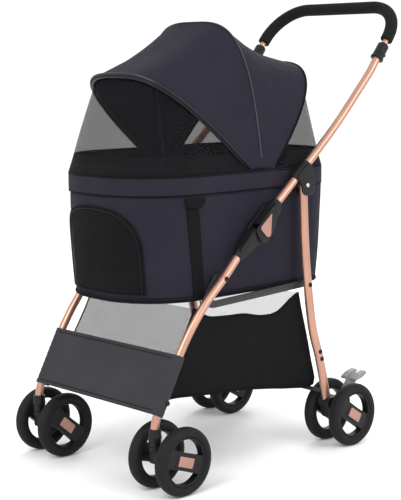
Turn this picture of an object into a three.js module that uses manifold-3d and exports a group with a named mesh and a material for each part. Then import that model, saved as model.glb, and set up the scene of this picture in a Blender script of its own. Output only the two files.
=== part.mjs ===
// Folding pet stroller: a four-bar folding tube frame, a lift-off carrier with a
// two-bow canopy, a storage basket below and eight twin-mounted wheels.
// Millimetres, +Z up. The front faces -Y, and +X is the left side of the person pushing.
// Heights start at the floor. Lengths are written from the point midway between the
// front and rear axles, and the whole group is shifted so that Y = 0 is mid-length.
import * as THREE from 'three';
import { mergeVertices } from 'three/addons/utils/BufferGeometryUtils.js';
import Module from 'manifold-3d';

const wasm = await Module();
wasm.setup();

// ---- driving dimensions -------------------------------------------------
const lengthMiddle = 74.33;
const framePlane = 186;
const halfWheelbase = 247.6;
const wheelRadius = 67.5;
const axleRadius = 4;
const clearance = 0.3;

const tubeRadius = 8.5;
const tubeWall = 1.2;
const handleTubeRadius = 6.8;
const gripRadius = 13.5;
const rearLegHalfThickness = 8;
const rearLegHalfWidth = 10.5;
const jointHalfWidth = 11;
const plateThickness = 4;

// pivots of the folding linkage as [y, z]
const foldPivot = [-1, 476];
const legPivot = [128, 573];
const railFrontPivot = [-101, 401];
const railRearPivot = [145, 360];
const foldJointSlope = 42;

const handleAngle = 51.5;
const handleFoot = [391, 867];
const handleDepth = 96;
const handleCornerRadius = 88;
const handleInsert = 52;

const carrierBottom = 357;
const rimBottom = 568;
const rimTop = 606;
const carrierBack = { halfWidth: 163, front: -281, rear: 256, frontRadius: 140, rearRadius: 80 };

// canopy hoops: foot y, lean from the rear horizontal, half width, length, squareness
const frontBowShape = { foot: 10, lean: 140, halfWidth: 148, reach: 297, power: 3.1 };
const middleBowShape = { foot: 40, lean: 98.7, halfWidth: 150, reach: 297, power: 3.5 };
const rearBowShape = { foot: 70, lean: 51, halfWidth: 154, reach: 273, power: 2.7 };
const bowRadius = 3.5;

const sides = { left: 1, right: -1 };
const group = new THREE.Group();
group.position.y = -lengthMiddle;

// ---- finishes -----------------------------------------------------------
const finishes = {
  copper: [0xc8957c, 0.35, 0.85],
  blackPlastic: [0x1b1b1d, 0.55, 0],
  foam: [0x141415, 0.9, 0],
  steel: [0xb0b2b5, 0.35, 0.9],
  wheelRubber: [0x202123, 0.75, 0],
  greyPlastic: [0x8c8c8b, 0.5, 0],
  charcoalFabric: [0x3c3843, 0.9, 0],
  panelFabric: [0x434246, 0.85, 0],
  blackMesh: [0x18181a, 0.9, 0],
  board: [0x2a2a2d, 0.7, 0],
  plush: [0x6b6870, 1, 0],
};

function addPart(name, geometry, finish, parent = group) {
  const [color, roughness, metalness] = finishes[finish];
  const material = new THREE.MeshStandardMaterial({ color, roughness, metalness });
  const mesh = new THREE.Mesh(geometry, material);
  mesh.name = name;
  parent.add(mesh);
  return mesh;
}

// ---- shape helpers ------------------------------------------------------
const sliver = 0.01;

function signedVolume(geometry) {
  const points = geometry.attributes.position;
  const index = geometry.index;
  const corner = [new THREE.Vector3(), new THREE.Vector3(), new THREE.Vector3()];
  let volume = 0;
  for (let i = 0; i < index.count; i += 3) {
    corner.forEach((c, k) => c.fromBufferAttribute(points, index.getX(i + k)));
    volume += corner[0].dot(corner[1].clone().cross(corner[2])) / 6;
  }
  return volume;
}

// Share the vertices and make the faces point outwards.
function closed(geometry) {
  const bare = geometry.clone();
  bare.deleteAttribute('normal');
  bare.deleteAttribute('uv');
  const merged = mergeVertices(bare, 1e-3);
  if (signedVolume(merged) < 0) {
    const turned = Array.from(merged.index.array);
    for (let i = 0; i < turned.length; i += 3) {
      [turned[i], turned[i + 1]] = [turned[i + 1], turned[i]];
    }
    merged.setIndex(turned);
  }
  return merged;
}

function toSolid(geometry) {
  const shape = closed(geometry);
  return new wasm.Manifold(new wasm.Mesh({
    numProp: 3,
    vertProperties: new Float32Array(shape.attributes.position.array),
    triVerts: new Uint32Array(shape.index.array),
  }));
}

function toGeometry(solid) {
  const mesh = solid.simplify(sliver).getMesh();
  const geometry = new THREE.BufferGeometry();
  geometry.setAttribute('position', new THREE.Float32BufferAttribute(mesh.vertProperties, 3));
  geometry.setIndex(Array.from(mesh.triVerts));
  return geometry;
}

function join(...pieces) {
  return toGeometry(pieces.map(toSolid).reduce((whole, piece) => whole.add(piece)));
}

function cut(base, ...tools) {
  return toGeometry(tools.map(toSolid).reduce((left, tool) => left.subtract(tool), toSolid(base)));
}

const acrossX = new THREE.Matrix4().makeBasis(
  new THREE.Vector3(0, 1, 0),
  new THREE.Vector3(0, 0, 1),
  new THREE.Vector3(1, 0, 0),
);

// A plate whose outline is drawn in side view as [y, z], thick along X.
function sidePlate(outline, xLow, xHigh) {
  const shape = outline instanceof THREE.Shape
    ? outline
    : new THREE.Shape(outline.map(([y, z]) => new THREE.Vector2(y, z)));
  const options = { depth: xHigh - xLow, bevelEnabled: false, curveSegments: 8 };
  const geometry = new THREE.ExtrudeGeometry(shape, options);
  geometry.applyMatrix4(acrossX);
  return geometry.translate(xLow, 0, 0);
}

function rodAlongX(radius, xLow, xHigh, [y, z], segments = 16) {
  const geometry = new THREE.CylinderGeometry(radius, radius, xHigh - xLow, segments);
  geometry.rotateZ(Math.PI / 2);
  return geometry.translate((xLow + xHigh) / 2, y, z);
}

// A rod between two points of the side plane at one X.
function rodInSide(radius, x, from, to, segments = 16) {
  const [dy, dz] = [to[0] - from[0], to[1] - from[1]];
  const geometry = new THREE.CylinderGeometry(radius, radius, Math.hypot(dy, dz), segments);
  geometry.rotateX(Math.atan2(dz, dy));
  return geometry.translate(x, (from[0] + to[0]) / 2, (from[1] + to[1]) / 2);
}

function sideCurve(points, x = 0) {
  const along = points.map(([y, z]) => new THREE.Vector3(x, y, z));
  return new THREE.CatmullRomCurve3(along, false, 'centripetal');
}

function ringSection(halfX, halfSide, wall) {
  const section = new THREE.Shape();
  section.absellipse(0, 0, halfX, halfSide, 0, 2 * Math.PI);
  if (wall > 0) {
    const hole = new THREE.Path();
    hole.absellipse(0, 0, halfX - wall, halfSide - wall, 0, 2 * Math.PI, true);
    section.holes.push(hole);
  }
  return section;
}

function sweep(section, path, steps, segments) {
  const options = { steps, extrudePath: path, curveSegments: segments, bevelEnabled: false };
  return new THREE.ExtrudeGeometry(section, options);
}

function bentTube(points, radius, wall, steps, segments = 6) {
  return sweep(ringSection(radius, radius, wall), sideCurve(points), steps, segments);
}

const toRadians = THREE.MathUtils.degToRad;

// A point in the fold joint's own axes: along the tube, and square to it in side view.
function atFold(along, square) {
  const [c, s] = [Math.cos(toRadians(foldJointSlope)), Math.sin(toRadians(foldJointSlope))];
  return [foldPivot[0] + along * c - square * s, foldPivot[1] + along * s + square * c];
}

// A point on the handle's leg line, measured up from the grip's lower end.
function onHandleLeg(along, square = 0) {
  const [c, s] = [Math.cos(toRadians(handleAngle)), Math.sin(toRadians(handleAngle))];
  return [handleFoot[0] + along * c - square * s, handleFoot[1] + along * s + square * c];
}

// Put a piece drawn about the frame plane (x = 0) on one side, mirrored on the right.
function onSide(geometry, side) {
  const placed = geometry.clone();
  if (side < 0) {
    placed.scale(-1, 1, 1);
  }
  return closed(placed.translate(side * framePlane, 0, 0));
}

function forBothSides(name, geometry, finish) {
  for (const [word, side] of Object.entries(sides)) {
    addPart(`${name}_${word}`, onSide(geometry, side), finish);
  }
}

// ---- front legs ---------------------------------------------------------
const tubeAtFold = 14.4;
const panelTop = [-222, 262];
const panelLength = 120;
const panelLean = [-0.473, -0.881];

function onPanel(down, out) {
  return [
    panelTop[0] + panelLean[0] * down + panelLean[1] * out,
    panelTop[1] + panelLean[1] * down - panelLean[0] * out,
  ];
}

const frontLegLine = [
  atFold(-5, tubeAtFold), [-60, 442], railFrontPivot, [-150, 357], [-190, 310],
  panelTop, onPanel(60, 0), onPanel(116, 0), [-283.5, 142], [-285, 131], [-285, 110],
];

const frontLegSteps = 14;
const tubeBore = tubeRadius + clearance;
const frontLegBore = bentTube(frontLegLine, tubeBore, 0, frontLegSteps);

function makeFrontLegs() {
  forBothSides('front_leg', bentTube(frontLegLine, tubeRadius, tubeWall, frontLegSteps), 'copper');
}

const pushTubeLine = [
  atFold(14, tubeAtFold), atFold(46, tubeAtFold), [102, 582], [121, 598], [180, 647], [235, 696],
  [298, 759], onHandleLeg(-86), onHandleLeg(-64), onHandleLeg(-42), onHandleLeg(-21),
];
const pushTubeSteps = 15;
const pushTubeBore = bentTube(pushTubeLine, tubeBore, 0, pushTubeSteps);

// ---- fold joint ---------------------------------------------------------
function roundedAtPivot(radius, from, to, rest) {
  const shape = new THREE.Shape();
  const [y, z] = foldPivot;
  const slope = toRadians(foldJointSlope);
  shape.absarc(y, z, radius, slope + toRadians(from), slope + toRadians(to), false);
  for (const [along, square] of rest) {
    shape.lineTo(...atFold(along, square));
  }
  shape.closePath();
  return shape;
}

function makeFoldHousings() {
  const eyeRadius = 11;
  const lowerOutline = roundedAtPivot(eyeRadius, 225, 405, [
    [-1, 16], [-1, 26.5], [-60, 26.5], [-67, 24], [-67, 4], [-60, 2.5], [-20, 2.5],
  ]);
  const lower = cut(
    sidePlate(lowerOutline, -jointHalfWidth, jointHalfWidth),
    rodInSide(tubeBore, 0, atFold(2, tubeAtFold), atFold(-6, tubeAtFold)),
    frontLegBore,
    rodAlongX(axleRadius + clearance, -20, 20, foldPivot),
  );
  forBothSides('fold_housing_lower', lower, 'blackPlastic');

  const upperBody = sidePlate(
    [atFold(12.5, 2.5), atFold(68, 2.5), atFold(76, 5), atFold(76, 24), atFold(68, 26.5), atFold(12.5, 26.5)],
    -jointHalfWidth - 1.5, jointHalfWidth + 1.5,
  );
  const plateOutline = roundedAtPivot(14, 150, 300, [
    [24, -13], [44, 0], [56, 10], [56, 26.5], [-8, 26.5],
  ]);
  const inside = jointHalfWidth + 0.5;
  const outside = inside + plateThickness;
  const upper = cut(
    join(
      upperBody,
      sidePlate(plateOutline, inside, outside),
      sidePlate(plateOutline, -outside, -inside),
      rodAlongX(axleRadius, -outside + 1, outside - 1, foldPivot),
    ),
    pushTubeBore,
    rodInSide(tubeBore, 0, atFold(13.6, tubeAtFold), atFold(18, tubeAtFold)),
  );
  forBothSides('fold_housing_upper', upper, 'blackPlastic');
}

// The copper release sits on the outer cheek and slides up the tube to free the fold.
function makeFoldLatches() {
  const face = jointHalfWidth + plateThickness + 1;
  const latch = sidePlate(
    [atFold(46, 22), atFold(11, -9.5), atFold(6, -7), atFold(1, 21), atFold(4, 24)],
    face, face + 2.4,
  );
  forBothSides('fold_latch', latch, 'copper');
}

// ---- push tubes ---------------------------------------------------------
function makePushTubes() {
  forBothSides('push_tube', bentTube(pushTubeLine, tubeRadius, tubeWall, pushTubeSteps), 'copper');
}

// The bracket clamps the push tube and carries the rear leg between two cheeks.
const bracketSlope = 39;

function makeLegBrackets() {
  const [c, s] = [Math.cos(toRadians(bracketSlope)), Math.sin(toRadians(bracketSlope))];
  const middle = [121, 598];
  const along = (t, n) => [middle[0] + t * c - n * s, middle[1] + t * s + n * c];
  const sleeveRadius = 12.5;
  const cheekShape = new THREE.Shape();
  cheekShape.moveTo(...along(-23, 4));
  cheekShape.lineTo(...along(23, 4));
  cheekShape.lineTo(...along(24, -8));
  cheekShape.lineTo(152, 572);
  cheekShape.quadraticCurveTo(150, 550, 132, 551);
  cheekShape.quadraticCurveTo(114, 552, 112, 572);
  cheekShape.lineTo(...along(-23, -6));
  cheekShape.closePath();
  const inside = rearLegHalfThickness + 1.3;
  const outside = inside + plateThickness + 0.4;
  const bracket = cut(
    join(
      rodInSide(sleeveRadius, 0, along(-24, 0), along(24, 0), 20),
      sidePlate(cheekShape, inside, outside),
      sidePlate(cheekShape, -outside, -inside),
      rodAlongX(axleRadius, -outside + 1, outside - 1, legPivot),
    ),
    pushTubeBore,
  );
  forBothSides('leg_bracket', bracket, 'blackPlastic');
}

// ---- handle -------------------------------------------------------------
function makeHandleCollars() {
  const inner = tubeRadius + clearance;
  const neck = handleTubeRadius + clearance;
  const profile = [
    [inner, -50], [14.5, -50], [14.5, -46], [12.5, -44], [12.5, -14],
    [11.5, -12], [neck, -12], [neck, -19.5], [inner, -19.5], [inner, -50],
  ].map(([r, h]) => new THREE.Vector2(r, h));
  const collar = new THREE.LatheGeometry(profile, 20);
  collar.rotateX(toRadians(handleAngle));
  collar.translate(0, ...handleFoot);
  const pocket = rodInSide(5.4, 0, onHandleLeg(-30, -9.1), onHandleLeg(-30, -20));
  forBothSides('handle_collar', cut(collar, pocket), 'blackPlastic');
  const button = rodInSide(5, 0, onHandleLeg(-30, -12.2), onHandleLeg(-30, -16.6));
  forBothSides('handle_button', button, 'blackPlastic');
}

function handlePath(below) {
  const width = framePlane;
  const side = handleCornerRadius;
  const at = (x, along) => new THREE.Vector3(x, ...onHandleLeg(along));
  const bend = side * 0.5523;
  const start = handleDepth - side;
  const path = new THREE.CurvePath();
  path.add(new THREE.LineCurve3(at(width, -below), at(width, start)));
  path.add(new THREE.CubicBezierCurve3(
    at(width, start), at(width, start + bend), at(width - side + bend, handleDepth), at(width - side, handleDepth),
  ));
  path.add(new THREE.LineCurve3(at(width - side, handleDepth), at(side - width, handleDepth)));
  path.add(new THREE.CubicBezierCurve3(
    at(side - width, handleDepth), at(side - width - bend, handleDepth), at(-width, start + bend), at(-width, start),
  ));
  path.add(new THREE.LineCurve3(at(-width, start), at(-width, -below)));
  return path;
}

function makeHandle() {
  const steps = 24;
  const wholePath = handlePath(handleInsert);
  const bar = sweep(ringSection(handleTubeRadius, handleTubeRadius, tubeWall), wholePath, steps, 5);
  addPart('handle_bar', closed(bar), 'copper');
  const bore = handleTubeRadius + clearance;
  const grip = cut(
    sweep(ringSection(gripRadius, gripRadius, 0), handlePath(0), steps, 5),
    sweep(ringSection(bore, bore, 0), wholePath, steps, 5),
  );
  addPart('handle_grip', grip, 'foam');
}

// ---- rear legs ----------------------------------------------------------
const rearLegLine = [legPivot, [130, 520], [134, 450], [141, 378], [158, 268], [181, 196], [207, 96]];

function rearLegSweep(grow, wall, line = rearLegLine, steps = 11) {
  const section = ringSection(rearLegHalfThickness + grow, rearLegHalfWidth + grow, wall);
  return sweep(section, sideCurve(line), steps, 6);
}

function makeRearLegs() {
  const eye = rodAlongX(rearLegHalfWidth, -rearLegHalfThickness, rearLegHalfThickness, legPivot, 20);
  const leg = cut(
    join(rearLegSweep(0, 0), eye),
    rearLegSweep(-1.5, 0, [[129.5, 545], ...rearLegLine.slice(1, -1), [209.6, 86]], 11),
    rodAlongX(axleRadius + clearance, -20, 20, legPivot),
  );
  forBothSides('rear_leg', leg, 'copper');
}

// ---- rear wheel brackets, axles and brakes ------------------------------
const rearAxle = [halfWheelbase, wheelRadius];
const frontAxle = [-halfWheelbase, wheelRadius];
const rearWheelOffset = 35.1;
const frontWheelOffset = 38.7;
const bracketHalfWidth = 15;
const forkHalfWidth = 11;
const brakePivot = [252, 96];
const brakePin = 2.5;
const pedalHalfWidth = 9;

function makeRearBrackets() {
  const outline = [
    [192, 92], [197, 88], [206, 62], [236, 52], [252, 52], [262, 62], [264, 84], [240, 90], [228, 109], [196, 108],
  ];
  const ear = [[238, 88], [264, 84], [262, 98], [256, 103], [248, 103], [242, 98]];
  const body = cut(
    join(
      sidePlate(outline, -bracketHalfWidth, bracketHalfWidth),
      sidePlate(ear, pedalHalfWidth + 0.5, bracketHalfWidth),
      sidePlate(ear, -bracketHalfWidth, -pedalHalfWidth - 0.5),
      rodAlongX(brakePin, -bracketHalfWidth + 1, bracketHalfWidth - 1, brakePivot),
    ),
    rearLegSweep(clearance, 0, [[181, 196], [193, 150], [207, 96], [208.4, 90.5]], 6),
    rodAlongX(axleRadius + clearance, -30, 30, rearAxle),
  );
  forBothSides('rear_wheel_bracket', body, 'blackPlastic');
}

// A two-lobed foot lever that hinges on the wheel bracket.
function makeBrakePedals() {
  const side = [[246, 93], [260, 91], [290, 126], [301, 138], [296, 145], [280, 137], [262, 114], [247, 101]];
  const lever = sidePlate(side, -pedalHalfWidth, pedalHalfWidth);
  const lobe = (from, to) => sidePlate([[272, 128], [300, 136], [313, 145], [311, 151], [290, 146], [272, 136]], from, to);
  const pinHole = rodAlongX(brakePin + clearance, -20, 20, brakePivot);
  const pedal = cut(join(lever, lobe(-21, -5), lobe(5, 21)), pinHole);
  forBothSides('brake_pedal', pedal, 'greyPlastic');
}

function makeAxles() {
  const front = frontWheelOffset + 8;
  const rear = rearWheelOffset + 8;
  forBothSides('front_axle', rodAlongX(axleRadius, -front, front, frontAxle, 16), 'steel');
  forBothSides('rear_axle', rodAlongX(axleRadius, -rear, rear, rearAxle, 16), 'steel');
}

// ---- casters ------------------------------------------------------------
const stemY = -285;
const socketBottom = 98;

function makeCasters() {
  const profile = [
    [0, socketBottom], [12, socketBottom], [12.5, 102], [12.5, 129], [11.5, 131.7],
    [0, 131.7],
  ].map(([r, h]) => new THREE.Vector2(r, h));
  const socket = new THREE.LatheGeometry(profile, 20);
  socket.rotateX(Math.PI / 2);
  socket.translate(0, stemY, 0);
  const end = rodInSide(tubeBore, 0, [stemY, 107], [stemY, 111]);
  forBothSides('caster_socket', cut(socket, frontLegBore, end), 'blackPlastic');

  const [y, z] = frontAxle;
  const arm = new THREE.Shape();
  arm.moveTo(stemY - 6, socketBottom - 0.4);
  arm.lineTo(stemY - 6, 62);
  arm.lineTo(stemY + 4, 60);
  arm.lineTo(y - 8, z - 11);
  arm.absarc(y, z, 13, toRadians(-130), toRadians(80), false);
  arm.lineTo(stemY + 10, 88);
  arm.lineTo(stemY + 9, socketBottom - 0.4);
  arm.closePath();
  const fork = cut(
    sidePlate(arm, -forkHalfWidth, forkHalfWidth),
    rodAlongX(axleRadius + clearance, -20, 20, frontAxle),
  );
  forBothSides('caster_fork', fork, 'blackPlastic');
}

// ---- wheels -------------------------------------------------------------
const wheelFacets = 24;
const hubHalfWidth = 9;
const barHalfDepth = 18;

// A tyre ring with one broad bar across it; the hub boss points to +X.
function makeWheel(barAngle, bossEnd) {
  const corner = wheelRadius / Math.cos(Math.PI / wheelFacets);
  const profile = [
    [48, -11], [57, -13], [65, -9.5], [corner, -5], [corner, 5], [65, 9.5], [57, 13], [48, 11], [48, -11],
  ].map(([r, h]) => new THREE.Vector2(r, h));
  const ring = new THREE.LatheGeometry(profile, wheelFacets, Math.PI / wheelFacets);
  ring.rotateZ(-Math.PI / 2);
  const bar = new THREE.BoxGeometry(2 * hubHalfWidth, 104, 2 * barHalfDepth);
  bar.rotateX(toRadians(barAngle));
  const boss = rodAlongX(12, -4, bossEnd, [0, 0], 16);
  const bore = rodAlongX(axleRadius + clearance, -8.4, bossEnd + 5, [0, 0], 16);
  return cut(join(ring, bar, boss), bore);
}

function makeWheels() {
  const pairs = [
    { end: 'front', axle: frontAxle, offset: frontWheelOffset, body: forkHalfWidth, angles: { left: -19, right: -41 } },
    { end: 'rear', axle: rearAxle, offset: rearWheelOffset, body: bracketHalfWidth, angles: { left: -33, right: -28 } },
  ];
  for (const { end, axle, offset, body, angles } of pairs) {
    for (const [word, side] of Object.entries(sides)) {
      for (const [place, outward] of [['outer', 1], ['inner', -1]]) {
        const wheel = makeWheel(angles[word], offset - body - 0.4);
        if (side * outward > 0) {
          wheel.scale(-1, 1, 1);
        }
        wheel.translate(side * (framePlane + outward * offset), ...axle);
        addPart(`wheel_${end}_${word}_${place}`, closed(wheel), 'wheelRubber');
      }
    }
  }
}

// ---- side rails and cross bars ------------------------------------------
// The rails run inside the tubes, under the carrier; their rear ends are left free.
function makeSideRails() {
  const outline = [
    [-108, 407], [-96, 409], [-92, 398], [-128, 361], [-112, 355], [145, 367], [152, 360], [145, 353],
    [-118, 341], [-143, 350], [-146, 358],
  ];
  forBothSides('side_rail', sidePlate(outline, -18, -13.5), 'blackPlastic');
}

function makeCrossBars() {
  const reach = framePlane - tubeRadius - clearance;
  addPart('front_cross_bar', closed(rodAlongX(6, -reach, reach, onPanel(58, 0), 12)), 'blackPlastic');
  const rearReach = framePlane - rearLegHalfThickness - clearance;
  addPart('rear_cross_bar', closed(rodAlongX(4.5, -rearReach, rearReach, [196, 121], 12)), 'blackPlastic');
}

// ---- front fabric panel -------------------------------------------------
function makeFrontPanel() {
  const near = tubeRadius + 1.4;
  const far = near + 2;
  const flap = 14;
  const halfSheet = [
    [framePlane - flap, -far], [framePlane + far, -far], [framePlane + far, far],
  ];
  const halfInside = [
    [framePlane + near, near], [framePlane + near, -near], [framePlane - flap, -near],
  ];
  const mirror = (list) => list.map(([x, v]) => [-x, v]).reverse();
  const outline = [...halfSheet, ...mirror(halfSheet), ...mirror(halfInside), ...halfInside];
  const shape = new THREE.Shape(outline.map(([x, v]) => new THREE.Vector2(x, v)));
  const sheet = new THREE.ExtrudeGeometry(shape, { depth: panelLength, bevelEnabled: false });
  const [downY, downZ] = panelLean;
  sheet.applyMatrix4(new THREE.Matrix4().makeBasis(
    new THREE.Vector3(1, 0, 0),
    new THREE.Vector3(0, downZ, -downY),
    new THREE.Vector3(0, downY, downZ),
  ));
  sheet.translate(0, ...panelTop);
  addPart('front_panel', closed(sheet), 'panelFabric');
}

// ---- storage basket -----------------------------------------------------
const basketHalfWidth = 162;

function makeBasket() {
  const outer = [[-158, 344], [-256, 180], [-20, 157], [110, 138], [192, 134], [152, 300], [141, 342]];
  const inner = [[-155, 360], [-155, 342], [-251, 182.5], [-20, 159.5], [110, 140.5], [189, 136.5], [149, 300], [138, 342], [138, 360]];
  const dip = [[-152, 350], [-120, 324], [-60, 318], [-20, 316], [28, 306], [75, 307], [118, 332], [136, 350]];
  const basket = cut(
    sidePlate(outer, -basketHalfWidth, basketHalfWidth),
    sidePlate(inner, -basketHalfWidth + 2, basketHalfWidth - 2),
    sidePlate(dip, -basketHalfWidth - 5, basketHalfWidth + 5),
  );
  addPart('storage_basket', basket, 'blackMesh');
}

// ---- carrier ------------------------------------------------------------
// One closed loop round the carrier in plan: big round corners in front, smaller behind.
function planLoop({ halfWidth, front, rear, frontRadius, rearRadius }, inset = 0) {
  const shape = new THREE.Shape();
  const [rf, rr] = [frontRadius - inset, rearRadius - inset];
  const w = halfWidth - inset;
  const [f, b] = [front + inset, rear - inset];
  shape.absarc(w - rf, f + rf, rf, -Math.PI / 2, 0, false);
  shape.absarc(w - rr, b - rr, rr, 0, Math.PI / 2, false);
  shape.absarc(rr - w, b - rr, rr, Math.PI / 2, Math.PI, false);
  shape.absarc(rf - w, f + rf, rf, Math.PI, 1.5 * Math.PI, false);
  return shape.getPoints(5);
}

// Skin between stacked loops of equal count, closed at both ends.
function stack(loops) {
  const count = loops[0].length;
  const points = loops.flat();
  const faces = [];
  for (let level = 0; level + 1 < loops.length; level += 1) {
    for (let k = 0; k < count; k += 1) {
      const a = level * count + k;
      const b = level * count + ((k + 1) % count);
      faces.push(a, b, b + count, a, b + count, a + count);
    }
  }
  const last = (loops.length - 1) * count;
  for (let k = 1; k + 1 < count; k += 1) {
    faces.push(0, k + 1, k, last, last + k, last + k + 1);
  }
  const geometry = new THREE.BufferGeometry();
  geometry.setAttribute('position', new THREE.Float32BufferAttribute(points.flatMap((p) => [p.x, p.y, p.z]), 3));
  geometry.setIndex(faces);
  return geometry;
}

function loopAt(plan, z, inset = 0) {
  const points = planLoop(plan, inset).map((p) => new THREE.Vector3(p.x, p.y, z));
  return points.filter((p, k) => p.distanceTo(points[(k + 1) % points.length]) > 1e-3);
}

const carrierFoot = { halfWidth: 155, front: -271, rear: 247, frontRadius: 136, rearRadius: 80 };

function archTool(halfWidth, low, high, yFrom, yTo) {
  const shape = new THREE.Shape();
  const spring = high - halfWidth * 0.85;
  shape.moveTo(-halfWidth, low);
  shape.lineTo(-halfWidth, spring);
  shape.bezierCurveTo(-halfWidth, high - 12, -halfWidth * 0.6, high, 0, high);
  shape.bezierCurveTo(halfWidth * 0.6, high, halfWidth, high - 12, halfWidth, spring);
  shape.lineTo(halfWidth, low);
  shape.closePath();
  const geometry = new THREE.ExtrudeGeometry(shape, { depth: yTo - yFrom, bevelEnabled: false, curveSegments: 8 });
  geometry.rotateX(Math.PI / 2);
  return geometry.translate(0, yTo, 0);
}

const doorHalfWidth = 112;
const doorBottom = 374;
const doorTop = 545;

function makeCarrierShell() {
  const wall = 3;
  const body = cut(
    stack([loopAt(carrierFoot, carrierBottom), loopAt(carrierBack, rimBottom - clearance)]),
    stack([loopAt(carrierFoot, carrierBottom + wall, wall), loopAt(carrierBack, rimBottom + 5, wall)]),
    archTool(doorHalfWidth - 4, doorBottom + 4, doorTop - 4, -320, -180),
  );
  addPart('carrier_body', body, 'charcoalFabric');
  const rim = cut(
    stack([loopAt(carrierBack, rimBottom, -2), loopAt(carrierBack, rimTop, -2)]),
    stack([loopAt(carrierBack, rimBottom - 5, 3), loopAt(carrierBack, rimTop + 5, 3)]),
  );
  addPart('carrier_rim', rim, 'charcoalFabric');
}

function makeCarrierInside() {
  const low = carrierBottom + 3 + clearance;
  addPart('floor_board', closed(stack([loopAt(carrierFoot, low, 6), loopAt(carrierFoot, low + 4, 6)])), 'board');
  const pad = low + 4 + clearance;
  const cushion = stack([
    loopAt(carrierFoot, pad, 14), loopAt(carrierFoot, pad + 8, 8),
    loopAt(carrierFoot, pad + 17, 8), loopAt(carrierFoot, pad + 24, 16),
  ]);
  addPart('cushion', closed(cushion), 'plush');
}

// The mesh door lies just outside the curved front wall, over its arched opening.
function makeFrontDoor() {
  const thickness = 1.8;
  const gap = 0.6;
  const slab = (inset) => stack([
    loopAt(carrierFoot, carrierBottom, inset),
    loopAt(carrierBack, rimBottom - clearance, inset),
  ]);
  const skin = toSolid(slab(-gap - thickness)).subtract(toSolid(slab(-gap)));
  const arch = toSolid(archTool(doorHalfWidth, doorBottom, doorTop, -320, -180));
  addPart('front_door', toGeometry(skin.intersect(arch)), 'blackMesh');
}

function makeRearPocket() {
  const pocketShape = (halfWidth, depth, back) => {
    const shape = new THREE.Shape();
    shape.moveTo(-halfWidth, back);
    shape.lineTo(halfWidth, back);
    shape.bezierCurveTo(halfWidth, back + depth, halfWidth * 0.6, back + depth, 0, back + depth);
    shape.bezierCurveTo(-halfWidth * 0.6, back + depth, -halfWidth, back + depth, -halfWidth, back);
    return shape;
  };
  const raise = (shape, low, high) => {
    const options = { depth: high - low, bevelEnabled: false, curveSegments: 6 };
    return new THREE.ExtrudeGeometry(shape, options).translate(0, 0, low);
  };
  const pocket = cut(
    raise(pocketShape(80, 26, 255), 378, 500),
    raise(pocketShape(77, 22, 257), 380, 520),
  );
  addPart('rear_pocket', pocket, 'blackMesh');
}

// ---- canopy -------------------------------------------------------------
function bowPoint({ foot, lean, halfWidth, reach, power }, turn, grow = 0) {
  const [c, s] = [Math.cos(turn), Math.sin(turn)];
  const x = (halfWidth + grow) * Math.sign(c) * Math.abs(c) ** (2 / power);
  const along = (reach + grow) * Math.abs(s) ** (2 / power);
  const angle = toRadians(lean);
  return new THREE.Vector3(x, foot + along * Math.cos(angle), rimTop + along * Math.sin(angle));
}

function evenTurns(count, margin) {
  return Array.from({ length: count }, (_, k) => margin + ((Math.PI - 2 * margin) * k) / (count - 1));
}

function bowGeometry(shape) {
  const points = evenTurns(21, 0.006).map((turn) => bowPoint(shape, turn));
  const curve = new THREE.CatmullRomCurve3(points, false, 'centripetal');
  return closed(sweep(ringSection(bowRadius, bowRadius, 0), curve, 22, 4));
}

function makeBows() {
  addPart('front_bow', bowGeometry(frontBowShape), 'blackPlastic');
  addPart('middle_bow', bowGeometry(middleBowShape), 'blackPlastic');
  addPart('rear_bow', bowGeometry(rearBowShape), 'blackPlastic');
}

// A thin closed skin over a grid of points: outer[row][column] and inner, same size.
function gridSkin(outer, inner) {
  const rows = outer.length;
  const columns = outer[0].length;
  const points = [...outer.flat(), ...inner.flat()];
  const at = (r, c, layer) => layer * rows * columns + r * columns + c;
  const faces = [];
  const quad = (a, b, c, d) => faces.push(a, b, c, a, c, d);
  for (let r = 0; r + 1 < rows; r += 1) {
    for (let c = 0; c + 1 < columns; c += 1) {
      quad(at(r, c, 0), at(r, c + 1, 0), at(r + 1, c + 1, 0), at(r + 1, c, 0));
      quad(at(r, c, 1), at(r + 1, c, 1), at(r + 1, c + 1, 1), at(r, c + 1, 1));
    }
  }
  for (let c = 0; c + 1 < columns; c += 1) {
    quad(at(0, c, 0), at(0, c, 1), at(0, c + 1, 1), at(0, c + 1, 0));
    quad(at(rows - 1, c, 0), at(rows - 1, c + 1, 0), at(rows - 1, c + 1, 1), at(rows - 1, c, 1));
  }
  for (let r = 0; r + 1 < rows; r += 1) {
    quad(at(r, 0, 0), at(r + 1, 0, 0), at(r + 1, 0, 1), at(r, 0, 1));
    quad(at(r, columns - 1, 0), at(r, columns - 1, 1), at(r + 1, columns - 1, 1), at(r + 1, columns - 1, 0));
  }
  const geometry = new THREE.BufferGeometry();
  geometry.setAttribute('position', new THREE.Float32BufferAttribute(points.flatMap((p) => [p.x, p.y, p.z]), 3));
  geometry.setIndex(faces);
  return closed(geometry);
}

function blendShapes(a, b, share) {
  const mixed = {};
  for (const key of Object.keys(a)) {
    mixed[key] = a[key] + (b[key] - a[key]) * share;
  }
  return mixed;
}

function makeCanopyCover() {
  const turns = evenTurns(20, 0.012);
  const shapes = [];
  for (let k = 0; k < 4; k += 1) {
    shapes.push(blendShapes(frontBowShape, middleBowShape, k / 4));
  }
  for (let k = 0; k <= 4; k += 1) {
    shapes.push(blendShapes(middleBowShape, rearBowShape, k / 4));
  }
  const layer = (grow) => shapes.map((shape) => turns.map((turn) => bowPoint(shape, turn, grow)));
  addPart('canopy_cover', gridSkin(layer(6.2), layer(4.6)), 'charcoalFabric');
}

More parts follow.
